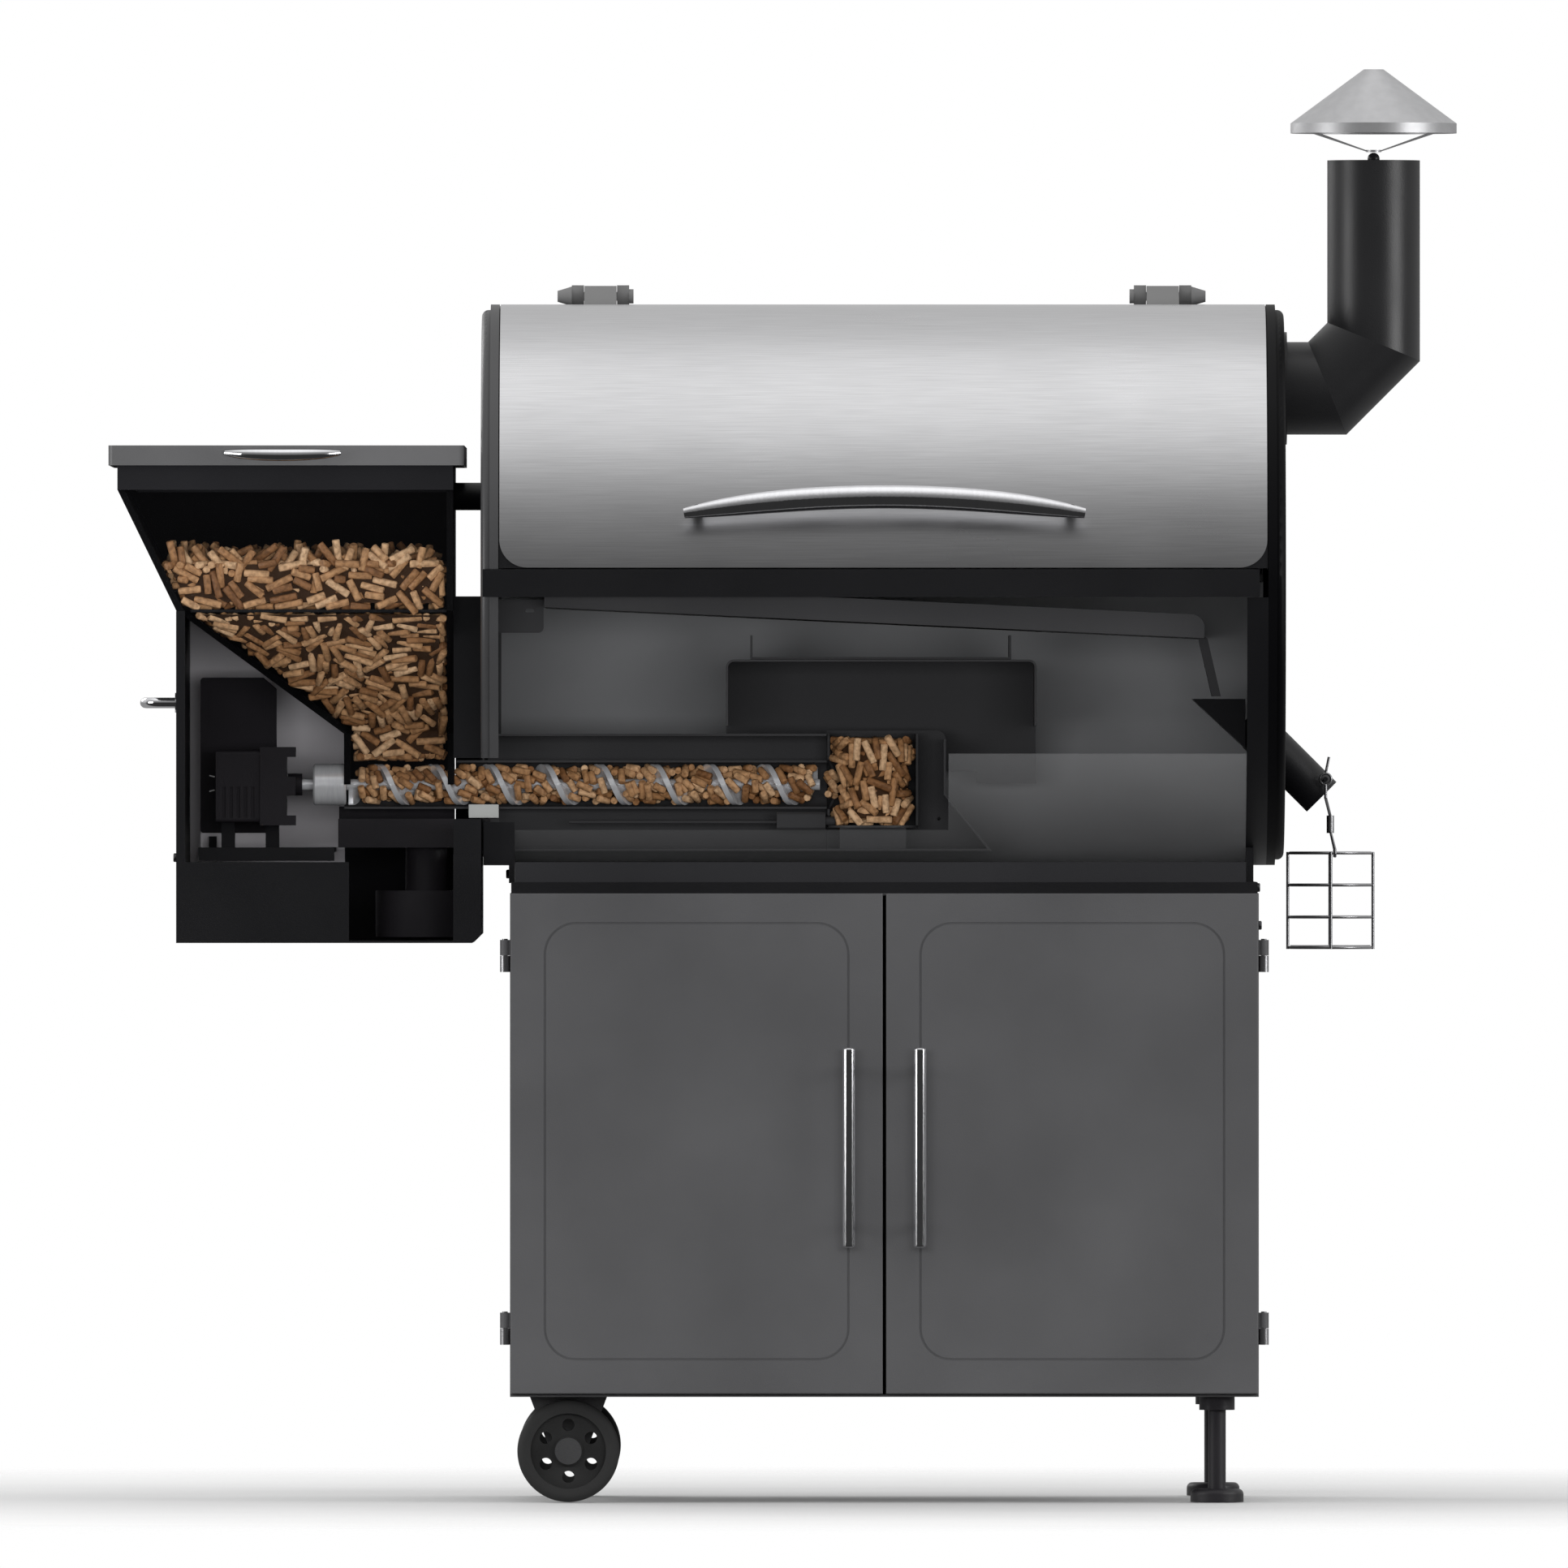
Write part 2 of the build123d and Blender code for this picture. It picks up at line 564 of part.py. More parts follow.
def auger_motor():
    """Vented motor, notched gearbox and the hub its shaft comes out of."""
    low, high = MOTOR_Z
    body = block((-605, -565), (-MOTOR_HALF, MOTOR_HALF), (low, high))
    body = fillet(body.edges().filter_by(Axis.X), 3)
    for i in range(5):
        x = -599 + i * 6.5
        body -= block((x, x + 3), (-MOTOR_HALF - 1, -MOTOR_HALF + 3), (low + 4, low + 32))
    gears = block((-565, -533), (-MOTOR_HALF - 3, MOTOR_HALF + 3), (610, 681))
    for z in (628, 663):
        gears -= block((-541, -532), (-MOTOR_HALF - 4, MOTOR_HALF + 4), (z - 9, z + 9))
    motor = body + gears + along_x(10, (-540, -527), 0, AUGER_Z)
    return motor - along_x(5.06, (-546, -526), 0, AUGER_Z)


# Hopper


def funnel(margin, bottom):
    """The hopper's shape shrunk by a margin: a sloping floor from the left and sloping front and back."""
    left, right, half = BIN_LEFT + margin, BIN_RIGHT - margin, BIN_HALF - margin
    drop = margin * 0.62
    front_view = outline(
        (left, BIN_TOP + 1),
        (left, BIN_RIM_Z),
        (BOX_LEFT + margin, FUNNEL_Z + drop / 2),
        (TUBE_LEFT + margin, THROAT_Z + drop),
        (TUBE_LEFT + margin, bottom),
        (right, bottom),
        (right, BIN_TOP + 1),
    )
    throat = THROAT_HALF - margin
    sides = [(-1, -half), (1, half)]
    side_view = outline(
        (-half, BIN_TOP + 1),
        (-half, FUNNEL_Z),
        (-throat, THROAT_Z),
        (-throat, bottom),
        (throat, bottom),
        (throat, THROAT_Z),
        (half, FUNNEL_Z),
        (half, BIN_TOP + 1),
    )
    return slab_xz(front_view, (-BIN_HALF, BIN_HALF)) & slab_yz(side_view, (BIN_LEFT, BIN_RIGHT))


def front_band(deep):
    """The outermost part of the hopper's front wall, to a depth measured from the front."""
    half, throat = BIN_HALF + 1, THROAT_HALF + 1
    inner, inner_throat = BIN_HALF - deep, THROAT_HALF - deep
    band = outline(
        (-half, BIN_RIM_Z),
        (-half, FUNNEL_Z),
        (-throat, THROAT_Z),
        (-throat, AUGER_Z),
        (-inner_throat, AUGER_Z),
        (-inner_throat, THROAT_Z),
        (-inner, FUNNEL_Z),
        (-inner, BIN_RIM_Z),
    )
    return slab_yz(band, (BIN_LEFT, BIN_RIGHT))


def hopper_shell():
    shell = funnel(0, AUGER_Z) - funnel(BIN_WALL, AUGER_Z - 1)
    shell -= block((BIN_LEFT, BIN_RIGHT), (-BIN_HALF, BIN_HALF), (BIN_TOP, BIN_TOP + 2))
    return shell - along_x(TUBE_R + 0.3, (TUBE_LEFT - 5, BIN_RIGHT + 5), 0, AUGER_Z)


def hopper_bin():
    """Walls and floor of the hopper, with a deep rim round its mouth."""
    rim = block((BIN_LEFT, BIN_RIGHT), (-BIN_HALF, BIN_HALF), (BIN_RIM_Z, BIN_TOP))
    mouth = (BIN_RIM_Z - 1, BIN_TOP + 1)
    rim -= block((BIN_LEFT + 14, BIN_RIGHT - BIN_WALL), (-BIN_HALF + 8, BIN_HALF - 8), mouth)
    wall = hopper_shell() - front_band(BIN_WALL + 0.5)
    return (wall + rim).solids().sort_by(SortBy.VOLUME)[-1]


def hopper_window():
    return (hopper_shell() & front_band(WINDOW)).solids().sort_by(SortBy.VOLUME)[-1]


def hopper_guard():
    """Finger guard: a slotted plate across the hopper."""
    left, right, half = -626.0, BIN_RIGHT - BIN_WALL - 0.5, BIN_HALF - 9.5
    plate = Pos((left + right) / 2, 0) * Rectangle(right - left, 2 * half)
    slots = Pos((left + right) / 2, 0) * GridLocations(26, 90, 8, 4) * SlotOverall(76, 18, rotation=90)
    return Pos(0, 0, GUARD_Z) * extrude(plate - slots, GUARD_THICK)


def wood_pellets():
    """Fuel in the hopper, from its level down to the auger, and in the burn pot."""
    fuel = funnel(BIN_WALL + 1.5, AUGER_Z - 1)
    empty = (
        (PELLET_LEVEL, BIN_TOP + 2),
        (GUARD_Z - 0.5, GUARD_Z + GUARD_THICK + 0.5),
        (AUGER_Z - 9, AUGER_Z + TUBE_R + 0.6),
    )
    for z in empty:
        fuel -= block((BIN_LEFT, BIN_RIGHT), (-BIN_HALF, BIN_HALF), z)
    pot = along_z(POT_INNER_R - 0.5, POT_X, 0, (POT_BOTTOM + SHEET + 0.2, POT_TOP - 3))
    pot -= along_x(TUBE_R + 0.5, (POT_X - POT_R - 1, POT_X - 30), 0, AUGER_Z)
    pot -= along_x(5, (POT_X - POT_R, POT_X - POT_INNER_R + 6), 0, IGNITER_Z)
    return list(fuel.solids()) + [pot]


def hopper_box():
    """Case under the hopper, open at the front but for a low panel, and the channel by the drum."""
    case_top = FUNNEL_Z - 0.3
    half = BIN_HALF
    box = block((BOX_LEFT, BOX_RIGHT), (-half, half), (BOX_BOTTOM, case_top))
    room_z = (BOX_BOTTOM + SHEET, case_top + 1)
    box -= block((BOX_LEFT + 8, CHANNEL_LEFT), (-half - 1, half - SHEET), room_z)
    corner = box.edges().filter_by(Axis.Y).group_by(Axis.Z)[0].sort_by(Axis.X)[-1]
    box = chamfer(corner, 8)
    box -= block((CHANNEL_LEFT - 1, BOX_RIGHT + 1), (-half - 1, half + 1), (BOX_BOTTOM + 80, case_top + 1))
    low_right = (CHANNEL_LEFT, BOX_RIGHT - SHEET)
    box -= block(low_right, (-half + SHEET, half - SHEET), (BOX_BOTTOM + SHEET, BOX_BOTTOM + 81))
    box -= block((-462.5, CHANNEL_LEFT + 25), (-48, 48), (BLOWER_BOTTOM - 1, DUCT_BOTTOM))
    channel_foot = BOX_BOTTOM + 79
    channel = block((CHANNEL_LEFT, BOX_RIGHT), (-CHANNEL_HALF, CHANNEL_HALF), (channel_foot, CHANNEL_TOP))
    hollow = (channel_foot, CHANNEL_TOP - SHEET)
    channel -= block(low_right, (-CHANNEL_HALF + SHEET, CHANNEL_HALF - SHEET), hollow)
    channel -= block((CHANNEL_LEFT - 1, BOX_RIGHT + 1), (-46, 46), (586, 694))
    channel -= block((CHANNEL_LEFT - 1, BOX_RIGHT + 1), (-CHANNEL_HALF - 1, 0), CUT_SLOT)
    panel = block((BOX_LEFT + 7, -483), (-half, -half + SHEET), (BOX_BOTTOM + 1, BOX_BOTTOM + 73))
    box = box + channel + panel - funnel(-0.3, AUGER_Z)
    return box.solids().sort_by(SortBy.VOLUME)[-1]


def box_liner():
    """Plate at the back of the feed box and the shelf the motor's bracket stands on."""
    back = BIN_HALF - SHEET - 0.2
    liner = block((BOX_LEFT + 8.2, -490), (back - SHEET, back), (BOX_BOTTOM + 3, FUNNEL_Z - 6))
    shelf = (-620, -497)
    liner += block(shelf, (-100, back - 1), (586, 590))
    liner += block(shelf, (-100, -98), (578, 590))
    for x in (-600, -560):
        liner += block((x, x + 12), (-20, 20), (589, 610 if x > -590 else 613))
    liner += block((-612, -605.2), (36, PANEL_Y), (589, 600))
    return liner + block(PANEL_X, (PANEL_Y, PANEL_Y + SHEET), (589, PANEL_Z[0]))


def control_panel():
    """Controller: face plate with a display, a small button and the ring round the dial."""
    plate = block(PANEL_X, (PANEL_Y, PANEL_Y + 22), PANEL_Z)
    plate = fillet(plate.edges().filter_by(Axis.Y), 3)
    plate -= slab_xz(outline((-564, 745), (-550, 745), (-550, 733)), (PANEL_Y - 1, PANEL_Y + 23))
    display = block((-612, -562), (PANEL_Y - 1.5, PANEL_Y + 1), (700, 730))
    ring = along_y(21, KNOB_X, (PANEL_Y - 1, PANEL_Y + 1), KNOB_Z)
    ring -= along_y(19.5, KNOB_X, (PANEL_Y - 2, PANEL_Y), KNOB_Z)
    return plate + display + ring - along_y(4.06, KNOB_X, (PANEL_Y - 2, PANEL_Y + 15), KNOB_Z)


def control_knob():
    """Fluted dial knob with its stub shaft."""
    knob = along_y(16, KNOB_X, (PANEL_Y - 20, PANEL_Y - 2), KNOB_Z)
    knob = chamfer(knob.edges().filter_by(GeomType.CIRCLE).sort_by(Axis.Y)[0], 2)
    for i in range(12):
        angle = radians(i * 30)
        x, z = KNOB_X + 17 * cos(angle), KNOB_Z + 17 * sin(angle)
        knob -= along_y(2, x, (PANEL_Y - 21, PANEL_Y - 1), z)
    knob -= block((KNOB_X - 1, KNOB_X + 1), (PANEL_Y - 21, PANEL_Y - 19), (KNOB_Z + 2, KNOB_Z + 15))
    return knob + along_y(4, KNOB_X, (PANEL_Y - 3, PANEL_Y + 12), KNOB_Z)


def blower_housing():
    """Round blower lying flat, its neck and the plenum that leads into the duct."""
    body = along_z(BLOWER_R, BLOWER_X, 0, (BLOWER_BOTTOM, BLOWER_TOP))
    neck = (BLOWER_TOP - 1, DUCT_BOTTOM + 4)
    body += along_z(19, BLOWER_X, 0, neck)
    plenum = block((-494, CHANNEL_LEFT - 0.4), (-DUCT_HALF, DUCT_HALF), (590, 616))
    plenum -= block((-492, CHANNEL_LEFT), (-DUCT_HALF + SHEET, DUCT_HALF - SHEET), (592, 614))
    body += plenum
    body += block((-494, CHANNEL_LEFT - 0.4), (DUCT_HALF - SHEET, DUCT_HALF), (614, 627))
    body -= along_z(BLOWER_R - SHEET, BLOWER_X, 0, (BLOWER_BOTTOM + SHEET, BLOWER_TOP - SHEET))
    body -= along_z(17, BLOWER_X, 0, (BLOWER_TOP - 3, 593))
    body -= along_z(24, BLOWER_X, 0, (BLOWER_BOTTOM - 1, BLOWER_BOTTOM + 3))
    spider = along_z(10, BLOWER_X, 0, (BLOWER_BOTTOM, BLOWER_BOTTOM + 6))
    for turn in (0, 90):
        bar = Pos(BLOWER_X, 0, BLOWER_BOTTOM + 1) * Rot(0, 0, turn) * Box(50, 4, 2)
        spider += bar
    return body + spider + along_z(3, BLOWER_X, 0, (BLOWER_BOTTOM + 2, BLOWER_BOTTOM + 26))


def blower_wheel():
    """Squirrel-cage fan wheel on the blower's fixed pin."""
    low, high = BLOWER_BOTTOM + 8, BLOWER_TOP - 6
    wheel = along_z(36, BLOWER_X, 0, (low, low + SHEET)) + along_z(8, BLOWER_X, 0, (low, low + 16))
    rim = along_z(37, BLOWER_X, 0, (high - SHEET, high)) - along_z(30, BLOWER_X, 0, (high - 3, high + 1))
    wheel += rim
    for i in range(16):
        blade = Pos(BLOWER_X, 0, (low + high) / 2) * Rot(0, 0, i * 22.5) * Pos(33, 0, 0) * Rot(0, 0, 30)
        wheel += blade * Box(6, 1.2, high - low - 1)
    return wheel - along_z(WHEEL_BORE_R, BLOWER_X, 0, (low - 1, high + 1))


def hopper_stay():
    """Tube that ties the hopper to the drum."""
    stay = along_x(12.5, (BIN_RIGHT, CAP_LEFT), 0, 908)
    return stay - along_x(10.5, (BIN_RIGHT - 1, CAP_LEFT + 1), 0, 908)


def side_handle():
    """Bent bar for pulling the grill along."""
    r, z, half, reach = 4.8, 721.0, 60.0, BOX_LEFT - 29.5
    path = FilletPolyline(
        (BOX_LEFT, -half, z), (reach, -half, z), (reach, half, z), (BOX_LEFT, half, z), radius=14
    )
    bar = sweep(Plane(origin=path @ 0, z_dir=path % 0) * Circle(r), path=path)
    for y in (-half, half):
        bar += along_x(9, (BOX_LEFT - 2.5, BOX_LEFT), y, z)
    return bar


def hopper_lid_panel():
    """Pan-shaped lid whose lips hang outside the hopper's rim, with its hinge ears."""
    lip = 1.5
    x, y = (HOPPER_LID_LEFT, HOPPER_LID_RIGHT), (-HOPPER_LID_HALF, HOPPER_LID_HALF)
    lid = block(x, y, (HOPPER_LID_BOTTOM, HOPPER_LID_TOP))
    lid = fillet(lid.edges().filter_by(Axis.Z), 5)
    inside = (HOPPER_LID_BOTTOM - 1, HOPPER_LID_TOP - lip)
    lid -= block((x[0] + lip, x[1] - lip), (y[0] + lip, y[1] - lip), inside)
    for centre in HOPPER_HINGES_X:
        ends = (centre - 12, centre + 12)
        lid += block(ends, (HOPPER_LID_HALF - 1, HOPPER_PIN_Y), (HOPPER_PIN_Z - 3, HOPPER_PIN_Z + 3))
        lid += along_x(4.5, ends, HOPPER_PIN_Y, HOPPER_PIN_Z)
        lid -= along_x(2.06, ends, HOPPER_PIN_Y, HOPPER_PIN_Z)
    return lid


def hopper_hinges():
    """Leaves on the hopper's back wall, each with two ears and the pin."""
    hinges = []
    for centre in HOPPER_HINGES_X:
        leaf = block((centre - 18, centre + 18), (BIN_HALF, BIN_HALF + SHEET), (905, 930))
        for x in (centre - 18, centre + 12.5):
            ear = outline(
                (BIN_HALF, 908),
                (HOPPER_PIN_Y + 4, HOPPER_PIN_Z - 8),
                (HOPPER_PIN_Y + 4, HOPPER_PIN_Z),
                (HOPPER_PIN_Y - 4, HOPPER_PIN_Z),
                (HOPPER_PIN_Y - 4, 931),
                (BIN_HALF, 926),
            )
            leaf += slab_yz(ear, (x, x + 5.5)) + along_x(4, (x, x + 5.5), HOPPER_PIN_Y, HOPPER_PIN_Z)
        leaf += along_x(2, (centre - 18, centre + 18), HOPPER_PIN_Y, HOPPER_PIN_Z)
        hinges.append(leaf)
    return hinges


def hopper_lid_handle():
    """Low arched grip on the lid's front lip."""
    front = -HOPPER_LID_HALF
    left, right, z = -595.0, -491.0, 944.0
    start, end = (left, front - 6, z + 2), (right, front - 6, z + 2)
    arch = ThreePointArc(start, ((left + right) / 2, front - 20, z), end)
    sections = []
    for where, size in ((0.004, 2.2), (0.2, 4.4), (0.5, 5.2), (0.8, 4.4), (0.996, 2.2)):
        plane = Plane(origin=arch @ where, x_dir=(0, 0, 1), z_dir=arch % where)
        sections.append(plane * Ellipse(size, size * 0.8))
    grip = Part() + loft(sections)
    for x in (left + 14, right - 14):
        grip += along_y(3, x, (front - 13, front), z)
    return grip


# Chimney


def chimney_stack():
    """Pipe with two mitred bends, its flange on the drum and the bar that carries the cap."""
    corner = STACK_X - STACK_BEND
    path = Polyline(
        (CAP_RIGHT, 0, STACK_Z),
        (corner, 0, STACK_Z),
        (STACK_X, 0, STACK_Z + STACK_BEND),
        (STACK_X, 0, STACK_TOP),
    )
    start = Plane(origin=(CAP_RIGHT, 0, STACK_Z), z_dir=(1, 0, 0))
    pipe = sweep(start * Circle(STACK_R), path=path, transition=Transition.RIGHT)
    pipe -= sweep(start * Circle(STACK_R - SHEET), path=path, transition=Transition.RIGHT)
    pipe += along_x(STACK_R + 9, (CAP_RIGHT, CAP_RIGHT + 3), 0, STACK_Z)
    pipe -= along_x(STACK_R - SHEET, (CAP_RIGHT - 1, CAP_RIGHT + 4), 0, STACK_Z)
    bar = (STACK_TOP - 14, STACK_TOP - 8)
    pipe += block((STACK_X - 6, STACK_X + 6), (-STACK_R + 1, STACK_R - 1), bar)
    pipe += along_z(9, STACK_X, 0, (STACK_TOP - 20, STACK_TOP - 4))
    return pipe - along_z(STEM_R + 0.06, STACK_X, 0, (STACK_TOP - 30, STACK_TOP))


def cap_stem():
    """Threaded stem the cap is screwed down with, and its dome nut."""
    stem = along_z(STEM_R, STACK_X, 0, (STACK_TOP - 60, STACK_TOP + 4))
    dome = Pos(STACK_X, 0, STACK_TOP + 1.5) * Sphere(5.5)
    dome -= block((STACK_X - 6, STACK_X + 6), (-6, 6), (STACK_TOP - 5, STACK_TOP - 3.5))
    return stem + dome


def cap_bracket():
    """Two pairs of strips from the stem out to the cap's rim, on a washer over the dome nut."""
    foot, rim_z = STACK_TOP + 7.5, CHIMNEY_RIM_Z[0] + 2
    strips = along_z(7, STACK_X, 0, (foot, foot + 2))
    for side in (-1, 1):
        strip = outline(
            (STACK_X + side * 2, foot),
            (STACK_X + side * 5, foot),
            (STACK_X + side * 62, rim_z),
            (STACK_X + side * 62, rim_z + 1.6),
            (STACK_X + side * 58, rim_z + 1.6),
        )
        strips += slab_xz(strip, (-4, 4))
    return strips


def chimney_cap():
    """Conical rain cap with a short upright rim."""
    low, high = CHIMNEY_RIM_Z
    thick = 1.5
    profile = outline(
        (0, CHIMNEY_TOP_Z),
        (CHIMNEY_TOP_R, CHIMNEY_TOP_Z),
        (CHIMNEY_RIM_R, high),
        (CHIMNEY_RIM_R, low),
        (CHIMNEY_RIM_R - thick, low),
        (CHIMNEY_RIM_R - thick, high - thick),
        (CHIMNEY_TOP_R - 1, CHIMNEY_TOP_Z - thick),
        (0, CHIMNEY_TOP_Z - thick),
    )
    cap = revolve(Plane.XZ * profile, Axis.Z)
    for side in (-1, 1):
        cap += block((side * 60 - 6, side * 60 + 6), (-4, 4), (low + 3.7, low + 5.2))
    ring = along_z(CHIMNEY_RIM_R - 1, 0, 0, (low + 3.7, low + 5.2)) - along_z(57, 0, 0, (low, high))
    return Pos(STACK_X, 0, 0) * (cap + ring)


# Grease chute and cage


def spout_line(radius, start, end):
    """A bar along the spout's axis, which falls to the right at 45 degrees."""
    step = sqrt(0.5)
    low = (SPOUT_X + start * step, 0, SPOUT_Z - start * step)
    high = (SPOUT_X + end * step, 0, SPOUT_Z - end * step)
    return rod(low, high, radius)


def grease_chute():
    """Gutter inside the drum's right end and the spout that leads out through the cap."""
    left, right, top, bottom, half = 279.0, 327.0, 724.5, 680.0, 60.0
    gutter = slab_xz(outline((left, top), (right, top), (right, bottom)), (-half, half))
    inside = outline((left + 5, top + 1), (right - SHEET, top + 1), (right - SHEET, bottom + 4))
    gutter -= slab_xz(inside, (-half + SHEET, half - SHEET))
    gutter -= slab_xz(outline((left, top), (left + 6, top), (left + 6, top + 2)), (-half, half))
    spout = spout_line(SPOUT_R, -49, 49) - block((260, right - SHEET), (-30, 30), (640, 760))
    chute = gutter + spout - spout_line(SPOUT_R - SHEET, -60, 60)
    hook = along_y(2, HOOK_X, (HOOK_Y - 4, -11.5), HOOK_Z)
    return (chute + hook).solids().sort_by(SortBy.VOLUME)[-1]


def grease_cage():
    """Wire cage for the grease cup: hoops with upright wires welded outside them."""
    post_r = CAGE_R - WIRE_R
    floor = CAGE_BOTTOM + WIRE_R
    cage = Part()
    for z in (floor, 527, 556, CAGE_TOP):
        cage += Pos(CAGE_X, 0, z) * Torus(HOOP_R, WIRE_R)
    for i in range(4):
        x, y = CAGE_X + post_r * cos(radians(i * 90)), post_r * sin(radians(i * 90))
        cage += along_z(WIRE_R, x, y, (CAGE_BOTTOM, CAGE_TOP + 1))
    cage += along_x(WIRE_R, (CAGE_X - HOOP_R, CAGE_X + HOOP_R), 0, floor + 0.8)
    return cage + along_y(WIRE_R, CAGE_X, (-HOOP_R, HOOP_R), floor + 1.6)


def cage_bail():
    """Wire bail and its clip: an eye on the spout's hook, a shank, and two legs to the top hoop."""
    eye_r, wire_r, clip_z = 5.0, 1.2, 611.0
    slip = 4.0  # how far beside the cage's posts the legs hang on the hoop
    leg_y = sqrt(HOOP_R**2 - slip**2)
    knee = (HOOK_X, HOOK_Y, HOOK_Z - 17)
    bail = Pos(HOOK_X, HOOK_Y, HOOK_Z) * Rot(90, 0, 0) * Torus(eye_r, wire_r)
    bail += rod((HOOK_X, HOOK_Y, HOOK_Z - eye_r), knee, WIRE_R)
    bail += rod((HOOK_X, HOOK_Y, HOOK_Z + eye_r), (HOOK_X + 3, HOOK_Y, HOOK_Z + 20), wire_r)
    bail += Pos(*knee) * Sphere(WIRE_R + 0.1) + rod(knee, (CAGE_X, 0, clip_z + 7), WIRE_R)
    bail += along_z(3.4, CAGE_X, 0, (clip_z - 8, clip_z + 8))
    for side in (-1, 1):
        bail += rod((CAGE_X, 0, clip_z - 6), (CAGE_X + slip, side * leg_y, CAGE_TOP + 3.2), wire_r)
        bail += Pos(CAGE_X + slip, side * leg_y, CAGE_TOP) * Rot(0, 90, 0) * Torus(3, wire_r)
    return bail


def probe():
    """Guard bracket and the temperature probe behind it, on the left cap."""
    left, right, y = CAP_LEFT + 2.2, -307.5, -150.0
    guard = outline((left, 784), (right, 784), (right, 814), (left, 814))
    guard = fillet(guard.vertices().group_by(Axis.Y)[0].sort_by(Axis.X)[-1], 5)
    guard -= Pos(-320, 804) * SlotOverall(8, 3)
    bracket = slab_xz(guard, (y, y + 1.5)) + block((left, left + 1.5), (y, y + 24), (786, 812))
    return bracket + along_x(3, (left + 1, -312), y + 14, 798)


# Cabinet


def cabinet_shell():
    """Open-fronted cabinet with a middle shelf."""
    half, back = CABINET_HALF, CABINET_DEPTH
    cabinet = block((-half, half), (-back, back), (CABINET_BOTTOM, CABINET_TOP))
    for z in ((CABINET_BOTTOM + SHEET, 300), (302, CABINET_TOP - SHEET)):
        cabinet -= block((-half + SHEET, half - SHEET), (-back - 1, back - SHEET), z)
    upper = block((-half + SHEET, half - SHEET), (-back - 1, -back + 190), (299, 303))
    return cabinet - upper


def saddle(x, low, top):
    """Curved plate that carries the drum."""
    half = sqrt((DRUM_R + 0.4) ** 2 - (DRUM_Z - top) ** 2)
    plate = block(x, (-half, half), (low, top))
    return plate - along_x(DRUM_R + 0.4, (x[0] - 1, x[1] + 1), 0, DRUM_Z)


def cabinet_frame():
    """Bar frame on the cabinet and the saddles the drum is bolted to."""
    half, back = CABINET_HALF - 1, CABINET_DEPTH - 2
    frame = block((-half, half), (-back, back), (CABINET_TOP, FRAME_TOP))
    frame -= block((-half + 25, half - 25), (-back + 25, back - 25), (CABINET_TOP - 1, FRAME_TOP + 1))
    for ends in ((-half, -half + 5), (327, half)):
        frame += block(ends, (-back, back), (CABINET_TOP, FRAME_TOP))
    frame += saddle((-339, -334), FRAME_TOP - 1, 613) + saddle((-362, -338.5), 574, 613)
    return frame + saddle((327, 334), FRAME_TOP - 1, 590)


def frame_apron():
    """Cross sheet under the drum's front, on the frame."""
    return block((-333, 326), (-226, -224), (FRAME_TOP, 577))


def door(side):
    """Pan door with a shallow rounded groove round its middle and its two hinge knuckles."""
    near, far = sorted((side * DOOR_GAP, side * (CABINET_HALF - 0.5)))
    x, z = (near, far), (DOOR_BOTTOM, CABINET_TOP)
    y = (DOOR_BACK - DOOR_THICK, DOOR_BACK)
    panel = block(x, y, z)
    front_edges = panel.edges().group_by(Axis.Y)[0]
    panel = fillet(front_edges, 1.5)
    inner = (x[0] + PANEL_MARGIN, x[1] - PANEL_MARGIN), (z[0] + PANEL_MARGIN, z[1] - 26)
    groove = rounded(*inner, PANEL_R)
    groove -= rounded((inner[0][0] + 2, inner[0][1] - 2), (inner[1][0] + 2, inner[1][1] - 2), PANEL_R - 2)
    panel -= slab_xz(groove, (y[0] - 1, y[0] + 1.2))
    panel -= block((x[0] + 3, x[1] - 3), (y[0] + 3, y[1] + 1), (z[0] + 3, z[1] - 3))
    for hinge_z in HINGES_Z:
        ends = (hinge_z + 7, hinge_z + 21)
        panel += along_z(HINGE_R, side * HINGE_X, HINGE_Y, ends)
        leaf = sorted((side * (CABINET_HALF - 3), side * HINGE_X))
        panel += block(leaf, (HINGE_Y - 3, HINGE_Y - 1), ends)
        panel -= along_z(HINGE_BORE_R, side * HINGE_X, HINGE_Y, (hinge_z, hinge_z + 30))
    return panel


def door_hinges():
    """Fixed halves of the door hinges: leaf, lower knuckle and pin."""
    hinges = []
    for side in (-1, 1):
        for z in HINGES_Z:
            x = side * HINGE_X
            leaf = sorted((side * (CABINET_HALF + 0.2), side * (CABINET_HALF + 2.2)))
            hinge = block(leaf, (HINGE_Y, HINGE_Y + 30), (z - 8, z + 6.7))
            hinge += along_z(HINGE_R, x, HINGE_Y, (z - 8, z + 6.7))
            hinges.append(hinge + along_z(HINGE_PIN_R, x, HINGE_Y, (z, z + 22)))
    return hinges


def door_handle(side):
    """Bar handle on two posts, near the split."""
    x, y = side * 32, DOOR_BACK - DOOR_THICK
    handle = along_z(6, x, y - 28, (230, 410))
    handle = fillet(handle.edges(), 2)
    for z in (250, 390):
        handle += along_y(4.5, x, (y - 28, y), z)
    return handle


